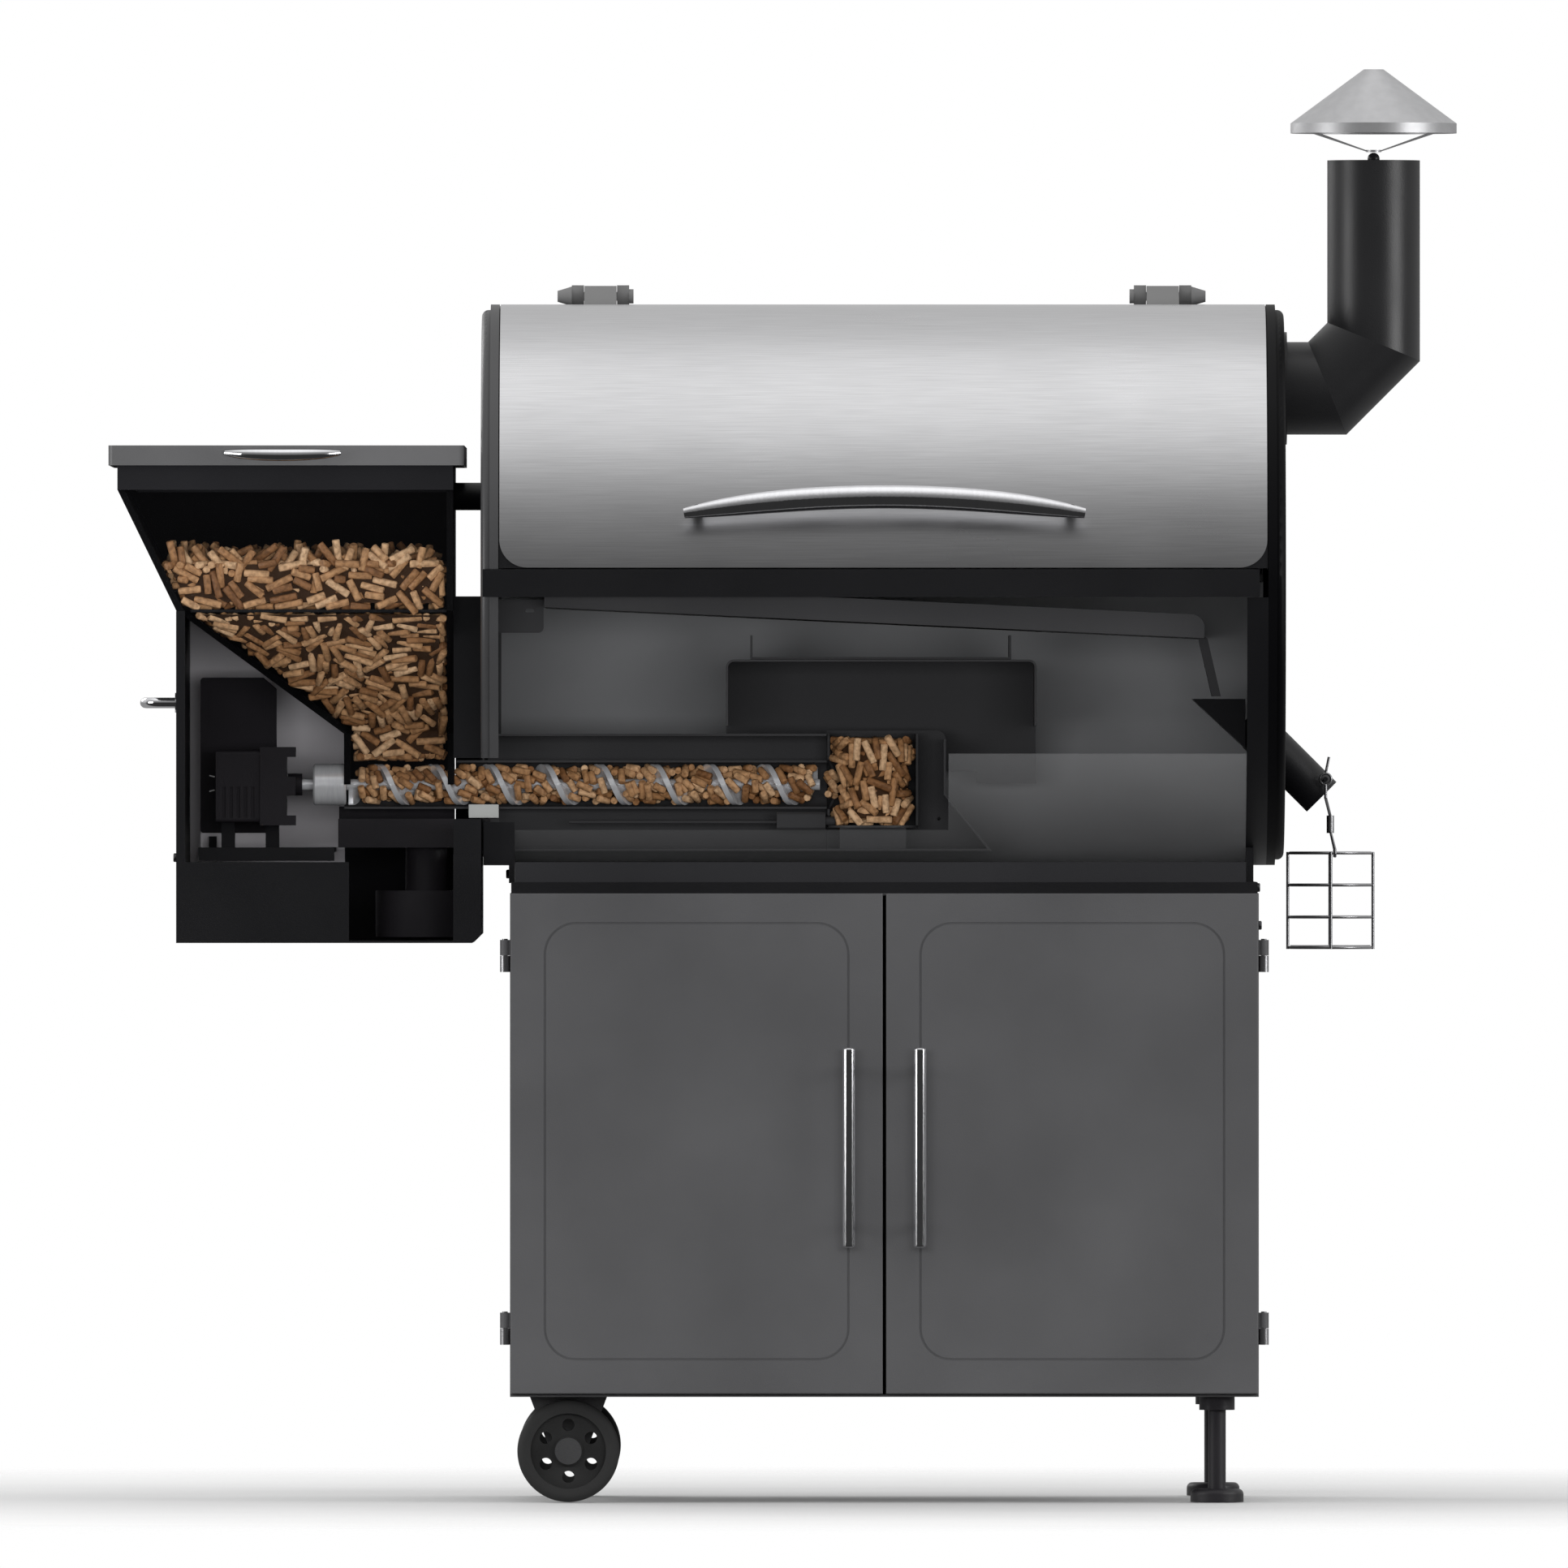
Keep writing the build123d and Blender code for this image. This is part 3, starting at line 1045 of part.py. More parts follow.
def wheel():
    """Solid-tyred wheel, dished on both faces, with round holes through its web."""
    half = WHEEL_WIDTH / 2
    rim_r, hub_r, hole_r, holes = WHEEL_R - 12, 13.0, 5.5, 6
    tyre = fillet(along_y(WHEEL_R, 0, (-half, half), 0).edges().filter_by(GeomType.CIRCLE), 7)
    for face in (-1, 1):
        dish = sorted((face * (half + 1), face * 5))
        tyre -= along_y(rim_r, 0, dish, 0) - along_y(hub_r, 0, dish, 0)
    middle_r = (rim_r + hub_r) / 2
    for i in range(holes):
        angle = radians(i * 360 / holes + 30)
        tyre -= along_y(hole_r, middle_r * cos(angle), (-half, half), middle_r * sin(angle))
    return tyre - along_y(AXLE_BORE_R, 0, (-half - 1, half + 1), 0)


def wheel_axle():
    """Axle across the cabinet's underside and the two plates that hang it."""
    reach = WHEEL_Y + WHEEL_WIDTH / 2 + 1
    axle = along_y(AXLE_R, WHEEL_X, (-reach, reach), WHEEL_R)
    for side in (-1, 1):
        hub = sorted((side * reach, side * (reach + 5)))
        axle += along_y(12, WHEEL_X, hub, WHEEL_R)
        plate = sorted((side * (WHEEL_Y - 30), side * (WHEEL_Y - 25)))
        hanger = outline(
            (WHEEL_X - 35, CABINET_BOTTOM),
            (WHEEL_X + 35, CABINET_BOTTOM),
            (WHEEL_X + 12, WHEEL_R - 12),
            (WHEEL_X - 12, WHEEL_R - 12),
        )
        axle += slab_xz(hanger, plate)
    return axle


def levelling_feet():
    feet = []
    for y in (-WHEEL_Y, WHEEL_Y):
        foot = along_z(24, FEET_X, y, (0, 12))
        foot = fillet(foot.edges().group_by(Axis.Z)[-1], 5)
        foot += along_z(8, FEET_X, y, (11, CABINET_BOTTOM))
        feet.append(foot + along_z(16, FEET_X, y, (CABINET_BOTTOM - 12, CABINET_BOTTOM)))
    return feet


def fasteners():
    """Round-headed screws, alike and each a solid of its own."""
    places = [(BOX_LEFT, y, 581, -1) for y in (-150, 150)]
    places += [(-339, y, 566, -1) for y in (-60, 60)]
    places += [(CABINET_HALF - 1, y, 554, 1) for y in (-150, 150)]
    places += [(CABINET_HALF, y, 520, 1) for y in (-200, 200)]
    heads = []
    for x, y, z, side in places:
        head = along_x(BOLT_R, (min(x, x + 3 * side), max(x, x + 3 * side)), y, z)
        heads.append(fillet(head.edges().sort_by(Axis.X)[-1 if side > 0 else 0], 1.2))
    return heads


PIECES = {
    "drum_shell": drum_shell,
    "left_end_cap": left_end_cap,
    "right_end_cap": right_end_cap,
    "front_rail": front_rail,
    "smoked_front_panel": smoked_front_panel,
    "cooking_grates": cooking_grates,
    "warming_rack": warming_rack,
    "lid_pan": lid_pan,
    "lid_skin": lid_skin,
    "lid_handle": lid_handle,
    "lid_hinge_brackets": lid_hinge_brackets,
    "lid_hinge_leaves": lid_hinge_leaves,
    "grease_tray": grease_tray,
    "heat_baffle": heat_baffle,
    "baffle_tray": baffle_tray,
    "burn_pot": burn_pot,
    "burn_pot_housing": burn_pot_housing,
    "igniter": igniter,
    "air_duct": air_duct,
    "auger_tube": auger_tube,
    "tube_clamp": tube_clamp,
    "auger_screw": auger_screw,
    "shaft_coupling": shaft_coupling,
    "auger_motor": auger_motor,
    "hopper_bin": hopper_bin,
    "hopper_window": hopper_window,
    "hopper_guard": hopper_guard,
    "wood_pellets": wood_pellets,
    "hopper_box": hopper_box,
    "box_liner": box_liner,
    "control_panel": control_panel,
    "control_knob": control_knob,
    "blower_housing": blower_housing,
    "blower_wheel": blower_wheel,
    "hopper_stay": hopper_stay,
    "side_handle": side_handle,
    "hopper_lid_panel": hopper_lid_panel,
    "hopper_lid_handle": hopper_lid_handle,
    "hopper_hinges": hopper_hinges,
    "chimney_stack": chimney_stack,
    "chimney_cap": chimney_cap,
    "cap_bracket": cap_bracket,
    "cap_stem": cap_stem,
    "grease_chute": grease_chute,
    "grease_cage": grease_cage,
    "cage_bail": cage_bail,
    "temperature_probe": probe,
    "cabinet_shell": cabinet_shell,
    "cabinet_frame": cabinet_frame,
    "frame_apron": frame_apron,
    "left_door": lambda: door(-1),
    "right_door": lambda: door(1),
    "left_door_handle": lambda: door_handle(-1),
    "right_door_handle": lambda: door_handle(1),
    "door_hinges": door_hinges,
    "wheel_axle": wheel_axle,
    "front_wheel": lambda: Pos(WHEEL_X, -WHEEL_Y, WHEEL_R) * wheel(),
    "rear_wheel": lambda: Pos(WHEEL_X, WHEEL_Y, WHEEL_R) * wheel(),
    "levelling_feet": levelling_feet,
    "fasteners": fasteners,
}


def export_pieces():
    os.makedirs("parts", exist_ok=True)
    for name, make in PIECES.items():
        made = make()
        solids = made if isinstance(made, list) else [made]
        export_step(Pos(*TO_ORIGIN) * Compound(children=solids), f"parts/{name}.step")
        print(name, [len(s.solids()) for s in solids])


if __name__ == "__main__":
    export_pieces()
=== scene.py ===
import itertools
import math
import random

import bmesh
import bpy
import numpy as np
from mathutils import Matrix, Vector
from mathutils.bvhtree import BVHTree


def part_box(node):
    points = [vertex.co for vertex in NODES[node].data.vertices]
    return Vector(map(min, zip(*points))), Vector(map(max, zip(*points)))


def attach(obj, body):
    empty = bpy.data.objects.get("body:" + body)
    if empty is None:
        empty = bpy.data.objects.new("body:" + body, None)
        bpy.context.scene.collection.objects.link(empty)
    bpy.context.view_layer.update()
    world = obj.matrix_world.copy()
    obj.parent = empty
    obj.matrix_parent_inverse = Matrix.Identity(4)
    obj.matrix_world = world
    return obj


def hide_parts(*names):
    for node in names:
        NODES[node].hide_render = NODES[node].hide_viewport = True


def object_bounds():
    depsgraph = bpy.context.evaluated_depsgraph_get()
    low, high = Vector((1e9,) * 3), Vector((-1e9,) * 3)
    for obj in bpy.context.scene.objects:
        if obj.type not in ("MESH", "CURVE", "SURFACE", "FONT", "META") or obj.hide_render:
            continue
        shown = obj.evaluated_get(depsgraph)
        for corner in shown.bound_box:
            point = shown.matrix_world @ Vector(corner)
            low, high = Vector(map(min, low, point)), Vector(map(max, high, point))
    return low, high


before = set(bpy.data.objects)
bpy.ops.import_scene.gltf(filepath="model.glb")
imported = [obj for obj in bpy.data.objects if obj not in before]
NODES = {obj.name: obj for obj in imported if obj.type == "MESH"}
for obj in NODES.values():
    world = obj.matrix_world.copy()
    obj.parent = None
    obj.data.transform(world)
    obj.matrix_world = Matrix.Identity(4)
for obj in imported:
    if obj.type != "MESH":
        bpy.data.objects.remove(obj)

# The looks of the pellet grill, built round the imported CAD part. Metres, in the CAD's own frame.

MM = 0.001
SEED = 11
CAD_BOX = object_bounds()


def middle(node):
    """Centre of a CAD node's box."""
    low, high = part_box(node)
    return (Vector(low) + Vector(high)) / 2


DRUM_AXIS = middle("right_end_cap")
AUGER_AXIS = middle("auger_screw")
PELLET_R = 3.5 * MM
PELLET_GAP = 4.9 * MM  # least distance between the middles of two pellets
PELLET_LAYERS = 4
AREA_PER_TRY = 2 * MM * MM  # one pellet is tried for each such patch of a fuel face
CORE_DEPTH = 9 * MM
FLIGHT_PITCH = 50 * MM
FLIGHT_CLEAR = 0.11  # part of a turn that pellets keep from the auger's flight, on each side
CARRIED_REACH = 16.0 * MM  # how far from the auger's axis the carried pellets may be


# Materials

NOISE_LOW, NOISE_HIGH = 0.3, 0.7  # nearly all of a noise texture's values lie between these


def new_material(name):
    """An empty node material with its principled shader."""
    material = bpy.data.materials.new(name)
    material.use_nodes = True
    tree = material.node_tree
    return material, tree, tree.nodes["Principled BSDF"]


def add(tree, kind, **values):
    """A shader node with its inputs and settings filled in."""
    node = tree.nodes.new(kind)
    for key, value in values.items():
        if key in node.inputs:
            node.inputs[key].default_value = value
        else:
            setattr(node, key, value)
    return node


def coordinates(tree, stretch=(1, 1, 1)):
    """Object coordinates, stretched so a pattern can run along one direction."""
    place = add(tree, "ShaderNodeTexCoord")
    mapping = add(tree, "ShaderNodeMapping")
    mapping.inputs["Scale"].default_value = stretch
    tree.links.new(place.outputs["Object"], mapping.inputs["Vector"])
    return mapping.outputs["Vector"]


def noise(tree, vector, scale, detail=4.0):
    """Value of a noise texture."""
    texture = add(tree, "ShaderNodeTexNoise", Scale=scale, Detail=detail)
    tree.links.new(vector, texture.inputs["Vector"])
    return texture.outputs["Fac"]


def colour_steps(tree, factor, stops):
    """Turns a factor into a colour that passes through (position, colour) stops."""
    node = add(tree, "ShaderNodeValToRGB")
    elements = node.color_ramp.elements
    for element, (position, colour) in zip(elements, (stops[0], stops[-1])):
        element.position = position
        element.color = (*colour, 1)
    for position, colour in stops[1:-1]:
        elements.new(position).color = (*colour, 1)
    tree.links.new(factor, node.inputs["Fac"])
    return node.outputs["Color"]


def ramp(tree, factor, low, high, start=NOISE_LOW, end=NOISE_HIGH):
    """Turns a factor into a colour between two colours."""
    return colour_steps(tree, factor, ((start, low), (end, high)))


def spread(tree, factor, low, high):
    """Turns a factor into a number between low and high."""
    node = add(tree, "ShaderNodeMapRange")
    node.inputs["From Min"].default_value = NOISE_LOW
    node.inputs["From Max"].default_value = NOISE_HIGH
    node.inputs["To Min"].default_value = low
    node.inputs["To Max"].default_value = high
    tree.links.new(factor, node.inputs["Value"])
    return node.outputs["Result"]


def bump(tree, shader, height, strength, distance):
    """Relief on the surface, from a height."""
    node = add(tree, "ShaderNodeBump", Strength=strength, Distance=distance)
    tree.links.new(height, node.inputs["Height"])
    tree.links.new(node.outputs["Normal"], shader.inputs["Normal"])


def scaled(colour, factor):
    """A colour made darker or lighter."""
    return tuple(min(1.0, c * factor) for c in colour)


def powder_coat(name, colour, rough=0.45, shine=0.5, grain=900.0, clean=0.12):
    """Powder-coated sheet: fine orange peel, slight mottling and uneven gloss."""
    material, tree, shader = new_material(name)
    vector = coordinates(tree)
    cloud = noise(tree, vector, scale=6.0, detail=6.0)
    peel = noise(tree, vector, grain, detail=2.0)
    tint = ramp(tree, cloud, scaled(colour, 1 - clean), scaled(colour, 1 + clean))
    tree.links.new(tint, shader.inputs["Base Color"])
    shader.inputs["Specular IOR Level"].default_value = shine
    tree.links.new(spread(tree, cloud, rough - 0.05, rough + 0.08), shader.inputs["Roughness"])
    bump(tree, shader, peel, strength=0.25, distance=0.4 * MM)
    return material


def metal(name, colour, rough, stretch=(1, 1, 1), scale=120.0, depth=0.15, vary=0.08, metallic=1.0):
    """Bare metal whose scratches run along the direction that is stretched least."""
    material, tree, shader = new_material(name)
    lines = noise(tree, coordinates(tree, stretch), scale, detail=5.0)
    cloud = noise(tree, coordinates(tree), scale=9.0)
    shader.inputs["Metallic"].default_value = metallic
    tint = ramp(tree, lines, scaled(colour, 1 - vary), scaled(colour, 1 + vary))
    tree.links.new(tint, shader.inputs["Base Color"])
    tree.links.new(spread(tree, cloud, rough * 0.85, rough * 1.2), shader.inputs["Roughness"])
    bump(tree, shader, lines, depth, distance=0.2 * MM)
    return material


def rough_iron(name, colour):
    """Cast iron: gritty, stained in patches."""
    material, tree, shader = new_material(name)
    vector = coordinates(tree)
    grit = noise(tree, vector, scale=700.0)
    stain = noise(tree, vector, scale=18.0, detail=6.0)
    tint = ramp(tree, stain, scaled(colour, 0.6), scaled(colour, 1.8))
    tree.links.new(tint, shader.inputs["Base Color"])
    tree.links.new(spread(tree, stain, 0.5, 0.8), shader.inputs["Roughness"])
    shader.inputs["Metallic"].default_value = 0.3
    bump(tree, shader, grit, strength=0.5, distance=0.6 * MM)
    return material


def moulded(name, colour, rough=0.5, grain=1400.0):
    """Moulded plastic or rubber with a fine even texture."""
    material, tree, shader = new_material(name)
    vector = coordinates(tree)
    fine = noise(tree, vector, grain, detail=2.0)
    cloud = noise(tree, vector, scale=14.0)
    tint = ramp(tree, cloud, scaled(colour, 0.85), scaled(colour, 1.2))
    tree.links.new(tint, shader.inputs["Base Color"])
    tree.links.new(spread(tree, cloud, rough - 0.06, rough + 0.1), shader.inputs["Roughness"])
    bump(tree, shader, fine, strength=0.3, distance=0.3 * MM)
    return material


def two_tone(name, first, second, mask, rough=0.4, shine=0.5):
    """Enamel that changes colour where a mask, built by a function of the tree, is 1."""
    material = powder_coat(name, first, rough, shine)
    tree = material.node_tree
    shader = tree.nodes["Principled BSDF"]
    cloud = noise(tree, coordinates(tree), scale=5.0, detail=6.0)
    mix = add(tree, "ShaderNodeMix", data_type="RGBA")
    tree.links.new(mask(tree), mix.inputs["Factor"])
    tree.links.new(shader.inputs["Base Color"].links[0].from_socket, mix.inputs["A"])
    tree.links.new(ramp(tree, cloud, scaled(second, 0.85), scaled(second, 1.1)), mix.inputs["B"])
    tree.links.new(mix.outputs["Result"], shader.inputs["Base Color"])
    return material


def faces_drum_axis(tree):
    """1 on surfaces that face the drum's axis: the drum's inside."""
    place = add(tree, "ShaderNodeTexCoord")
    away = add(tree, "ShaderNodeVectorMath", operation="SUBTRACT")
    away.inputs[1].default_value = DRUM_AXIS
    flat = add(tree, "ShaderNodeVectorMath", operation="MULTIPLY")
    flat.inputs[1].default_value = (0, 1, 1)
    facing = add(tree, "ShaderNodeVectorMath", operation="DOT_PRODUCT")
    tree.links.new(place.outputs["Object"], away.inputs[0])
    tree.links.new(away.outputs[0], flat.inputs[0])
    tree.links.new(flat.outputs[0], facing.inputs[0])
    tree.links.new(place.outputs["Normal"], facing.inputs[1])
    inward = add(tree, "ShaderNodeMath", operation="LESS_THAN")
    inward.inputs[1].default_value = -0.05  # just below 0, so the end faces don't count
    tree.links.new(facing.outputs["Value"], inward.inputs[0])
    return inward.outputs[0]


def beyond(tree, axis, limit):
    """1 where a coordinate is greater than a limit."""
    place = add(tree, "ShaderNodeTexCoord")
    split = add(tree, "ShaderNodeSeparateXYZ")
    above = add(tree, "ShaderNodeMath", operation="GREATER_THAN")
    above.inputs[1].default_value = limit
    tree.links.new(place.outputs["Object"], split.inputs[0])
    tree.links.new(split.outputs[axis], above.inputs[0])
    return above.outputs[0]


def on_bin_rim(tree):
    """1 above the hopper's window."""
    return beyond(tree, "Z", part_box("hopper_window")[1][2])


def on_back_plate(tree):
    """1 on the plates that stand behind the controller's face."""
    return beyond(tree, "Y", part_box("control_panel")[0][1] + MM)


def see_through(name, colour, alpha, rough, shine):
    """Clear or smoked sheet with faint smears."""
    material, tree, shader = new_material(name)
    smear = noise(tree, coordinates(tree, (1, 1, 3)), scale=12.0, detail=6.0)
    shader.inputs["Base Color"].default_value = (*colour, 1)
    shader.inputs["Specular IOR Level"].default_value = shine
    tree.links.new(spread(tree, smear, rough, rough + 0.1), shader.inputs["Roughness"])
    tree.links.new(spread(tree, smear, alpha * 0.94, alpha * 1.06), shader.inputs["Alpha"])
    return material


WOOD_SHADES = (
    (0.0, (0.20, 0.09, 0.035)),
    (0.3, (0.36, 0.185, 0.08)),
    (0.65, (0.52, 0.30, 0.15)),
    (1.0, (0.66, 0.44, 0.26)),
)


def pressed_wood(name):
    """Fuel pellets: each its own shade, darkened unevenly by its fibres."""
    material, tree, shader = new_material(name)
    island = add(tree, "ShaderNodeNewGeometry")
    shade = colour_steps(tree, island.outputs["Random Per Island"], WOOD_SHADES)
    fibre = noise(tree, coordinates(tree), scale=260.0, detail=6.0)
    dark = add(tree, "ShaderNodeMix", data_type="RGBA", blend_type="MULTIPLY")
    dark.inputs["Factor"].default_value = 0.75
    tree.links.new(shade, dark.inputs["A"])
    streaks = ramp(tree, fibre, (0.35, 0.3, 0.26), (1, 1, 1), start=0.32, end=0.6)
    tree.links.new(streaks, dark.inputs["B"])
    tree.links.new(dark.outputs["Result"], shader.inputs["Base Color"])
    tree.links.new(spread(tree, fibre, 0.65, 0.45), shader.inputs["Roughness"])
    bump(tree, shader, fibre, strength=0.6, distance=0.5 * MM)
    return material


# One shader per finish, and the CAD nodes that wear it

BLACK = (0.005, 0.005, 0.006)
BEVEL_WIDTH = 0.6 * MM
ALONG_X = (8, 1, 1)

FINISHES = (
    (
        # Painted light: the left cap is the same black paint as the right cap, made grey because it
        # faces the light from the left.
        powder_coat("left_cap_painted_light", (0.05, 0.05, 0.052), rough=0.4),
        "left_end_cap",
    ),
    (
        # Painted shade: the right cap is made darker and duller than the black paint because it stands
        # on the unlit side.
        powder_coat("right_cap_painted_shade", (0.002, 0.002, 0.0025), rough=0.5, shine=0.12),
        "right_end_cap",
    ),
    (
        powder_coat("black_enamel", BLACK, rough=0.42),
        "front_rail", "hopper_box", "cabinet_frame", "hopper_stay", "hopper_hinges",
        "hopper_guard", "grease_chute", "lid_pan",
    ),
    (
        two_tone("drum_enamel", BLACK, (0.2, 0.203, 0.21), faces_drum_axis),
        "drum_shell",
    ),
    (
        two_tone(
            "bin_enamel", (0.001, 0.001, 0.0013), (0.016, 0.016, 0.018), on_bin_rim,
            rough=0.55, shine=0.15,
        ),
        "hopper_bin",
    ),
    (
        powder_coat("stack_enamel", (0.014, 0.014, 0.015), rough=0.36),
        "chimney_stack", "cap_stem",
    ),
    (
        powder_coat("dark_sheet", (0.036, 0.036, 0.038), rough=0.5),
        "heat_baffle", "baffle_tray", "burn_pot_housing", "air_duct", "grease_tray",
        "temperature_probe", "burn_pot", "igniter", "auger_tube",
    ),
    (
        powder_coat("apron_enamel", (0.016, 0.016, 0.018), rough=0.5),
        "frame_apron",
    ),
    (
        powder_coat("door_grey", (0.068, 0.068, 0.071), rough=0.5),
        "left_door", "right_door", "cabinet_shell",
    ),
    (
        powder_coat("lid_grey", (0.12, 0.12, 0.123)),
        "hopper_lid_panel",
    ),
    (
        powder_coat("hinge_grey", (0.19, 0.19, 0.19)),
        "lid_hinge_leaves", "lid_hinge_brackets",
    ),
    (
        two_tone("liner_enamel", BLACK, (0.5, 0.485, 0.51), on_back_plate, rough=0.5),
        "box_liner",
    ),
    (
        metal(
            "brushed_stainless", (0.62, 0.62, 0.63), rough=0.3,
            stretch=(1, 60, 60), scale=20.0, depth=0.02,
        ),
        "lid_skin",
    ),
    (
        metal(
            "polished_chrome", (0.82, 0.82, 0.84), rough=0.1,
            stretch=ALONG_X, scale=40.0, depth=0.05, vary=0.03,
        ),
        "lid_handle", "hopper_lid_handle", "side_handle", "left_door_handle", "right_door_handle",
    ),
    (
        metal(
            "bright_steel", (0.86, 0.87, 0.9), rough=0.22,
            stretch=ALONG_X, scale=60.0, depth=0.1, vary=0.06, metallic=0.6,
        ),
        "auger_screw", "shaft_coupling",
    ),
    (
        metal(
            "zinc_sheet", (0.55, 0.55, 0.56), rough=0.45,
            scale=90.0, depth=0.1, vary=0.05, metallic=0.8,
        ),
        "chimney_cap", "cap_bracket",
    ),
    (
        powder_coat("clamp_grey", (0.4, 0.41, 0.4)),
        "tube_clamp",
    ),
    (
        metal("wire_steel", (0.42, 0.42, 0.43), rough=0.35, stretch=(1, 1, 4), scale=300.0, depth=0.2),
        "grease_cage", "cage_bail", "warming_rack", "door_hinges", "wheel_axle",
    ),
    (
        metal("screw_steel", (0.12, 0.12, 0.125), rough=0.4, scale=400.0, depth=0.2),
        "fasteners",
    ),
    (
        rough_iron("grate_iron", (0.03, 0.03, 0.03)),
        "cooking_grates",
    ),
    (
        moulded("black_plastic", (0.012, 0.011, 0.013), rough=0.45),
        "control_panel", "auger_motor", "blower_housing", "levelling_feet",
    ),
    (
        moulded("fan_plastic", (0.03, 0.03, 0.032)),
        "blower_wheel", "control_knob",
    ),
    (
        moulded("tyre_rubber", (0.018, 0.018, 0.018), rough=0.75, grain=500.0),
        "front_wheel", "rear_wheel",
    ),
    (
        see_through("clear_window", (0.06, 0.06, 0.065), alpha=0.02, rough=0.05, shine=0.1),
        "hopper_window",
    ),
    (
        see_through("smoked_skin", (0.32, 0.323, 0.33), alpha=0.14, rough=0.35, shine=0.3),
        "smoked_front_panel",
    ),
)

BEVELLED = (
    "front_rail", "hopper_box", "cabinet_frame", "heat_baffle", "burn_pot_housing",
    "auger_motor", "control_panel", "hopper_lid_panel", "tube_clamp", "lid_hinge_brackets",
    "lid_hinge_leaves", "grease_tray", "box_liner",
)


def dress_cad_nodes():
    """Give every CAD node its finish, and the sheet parts soft edges."""
    for material, *names in FINISHES:
        for name in names:
            slots = NODES[name].data.materials
            slots.clear()
            slots.append(material)
    for name in BEVELLED:
        bevel = NODES[name].modifiers.new("soft_edges", "BEVEL")
        bevel.width = BEVEL_WIDTH
        bevel.segments = 2
        bevel.limit_method = "ANGLE"


# Pellets


def pellet_mesh(radius, length, sides=8, lip=0.0007):
    """(vertices, faces) of one pellet along X: a short rod with its end edges broken."""
    rings = (
        (-length / 2, radius - lip),
        (-length / 2 + lip, radius),
        (length / 2 - lip, radius),
        (length / 2, radius - lip),
    )
    vertices = []
    for x, r in rings:
        for i in range(sides):
            angle = 2 * math.pi * i / sides
            vertices.append((x, r * math.cos(angle), r * math.sin(angle)))
    faces = [tuple(range(sides - 1, -1, -1)), tuple(range(3 * sides, 4 * sides))]
    for ring in range(3):
        for i in range(sides):
            j = (i + 1) % sides
            a, b = ring * sides, (ring + 1) * sides
            faces.append((a + i, a + j, b + j, b + i))
    return np.array(vertices), faces


def heap(name, places, material, body):
    """One mesh of many pellets; places holds (centre, direction, length, radius) of each."""
    all_vertices, faces, start = [], [], 0
    for centre, direction, length, radius in places:
        vertices, quads = pellet_mesh(radius, length)
        turn = np.array(Vector(direction).to_track_quat("X", "Z").to_matrix())
        all_vertices.append(vertices @ turn.T + np.array(centre))
        faces += [tuple(i + start for i in quad) for quad in quads]
        start += len(vertices)
    mesh = bpy.data.meshes.new(name)
    mesh.from_pydata(np.concatenate(all_vertices).tolist(), [], faces)
    mesh.materials.append(material)
    mesh.polygons.foreach_set("use_smooth", [len(f) == 4 for f in faces])
    piece = bpy.data.objects.new(name, mesh)
    bpy.context.collection.objects.link(piece)
    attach(piece, body)
    return piece


def beads(centre, direction, length):
    """Points along a pellet, standing for it when distances are compared."""
    along = Vector(direction).normalized() * length
    return [Vector(centre) + along * part for part in (-0.4, -0.2, 0.0, 0.2, 0.4)]


def claim(taken, points):
    """Note the points and say True, unless one is too near a point of an earlier pellet."""
    cells = [tuple(math.floor(c / PELLET_GAP) for c in point) for point in points]
    for point, (i, j, k) in zip(points, cells):
        for near in itertools.product((i - 1, i, i + 1), (j - 1, j, j + 1), (k - 1, k, k + 1)):
            if any((point - other).length < PELLET_GAP for other in taken.get(near, ())):
                return False
    for point, cell in zip(points, cells):
        taken.setdefault(cell, []).append(point)
    return True


def lying_pellet(rng, corners, normal, layer):
    """(centre, direction, length) of a pellet lying flat under a triangle, a layer or more down."""
    a, b = sorted((rng.random(), rng.random()))
    point = corners[0] * a + corners[1] * (b - a) + corners[2] * (1 - b)
    flat = normal.orthogonal().normalized()
    angle = rng.uniform(0, 2 * math.pi)
    direction = flat * math.cos(angle) + normal.cross(flat) * math.sin(angle)
    direction += normal * rng.uniform(-0.2, 0.2)
    depth = PELLET_R + layer * 1.3 * PELLET_R + rng.uniform(0, 2) * MM
    length = rng.uniform(16, 27) * (1 - 0.18 * layer) * MM
    return point - normal * depth, direction, length


def packed_places(rng, node, wanted):
    """Pellets lying in layers, shorter further in, under the faces that point a wanted way."""
    mesh = NODES[node].data
    mesh.calc_loop_triangles()
    triangles = [tuple(triangle.vertices) for triangle in mesh.loop_triangles]
    solid = BVHTree.FromPolygons([v.co for v in mesh.vertices], triangles)

    def buried(point):
        hit, normal, _, _ = solid.find_nearest(point)
        return (hit - point).dot(normal) > 0.3 * PELLET_R

    places, taken = [], {}
    for layer in range(PELLET_LAYERS):
        for triangle in mesh.loop_triangles:
            normal = Vector(triangle.normal)
            if not wanted(normal):
                continue
            corners = [mesh.vertices[i].co for i in triangle.vertices]
            tries = triangle.area / AREA_PER_TRY
            for _ in range(int(tries) + (rng.random() < tries % 1)):
                centre, direction, length = lying_pellet(rng, corners, normal, layer)
                points = beads(centre, direction, length)
                if all(buried(p) for p in points) and claim(taken, points):
                    radius = PELLET_R * rng.uniform(0.93, 1.03)
                    places.append((centre, direction, length, radius))
    return places


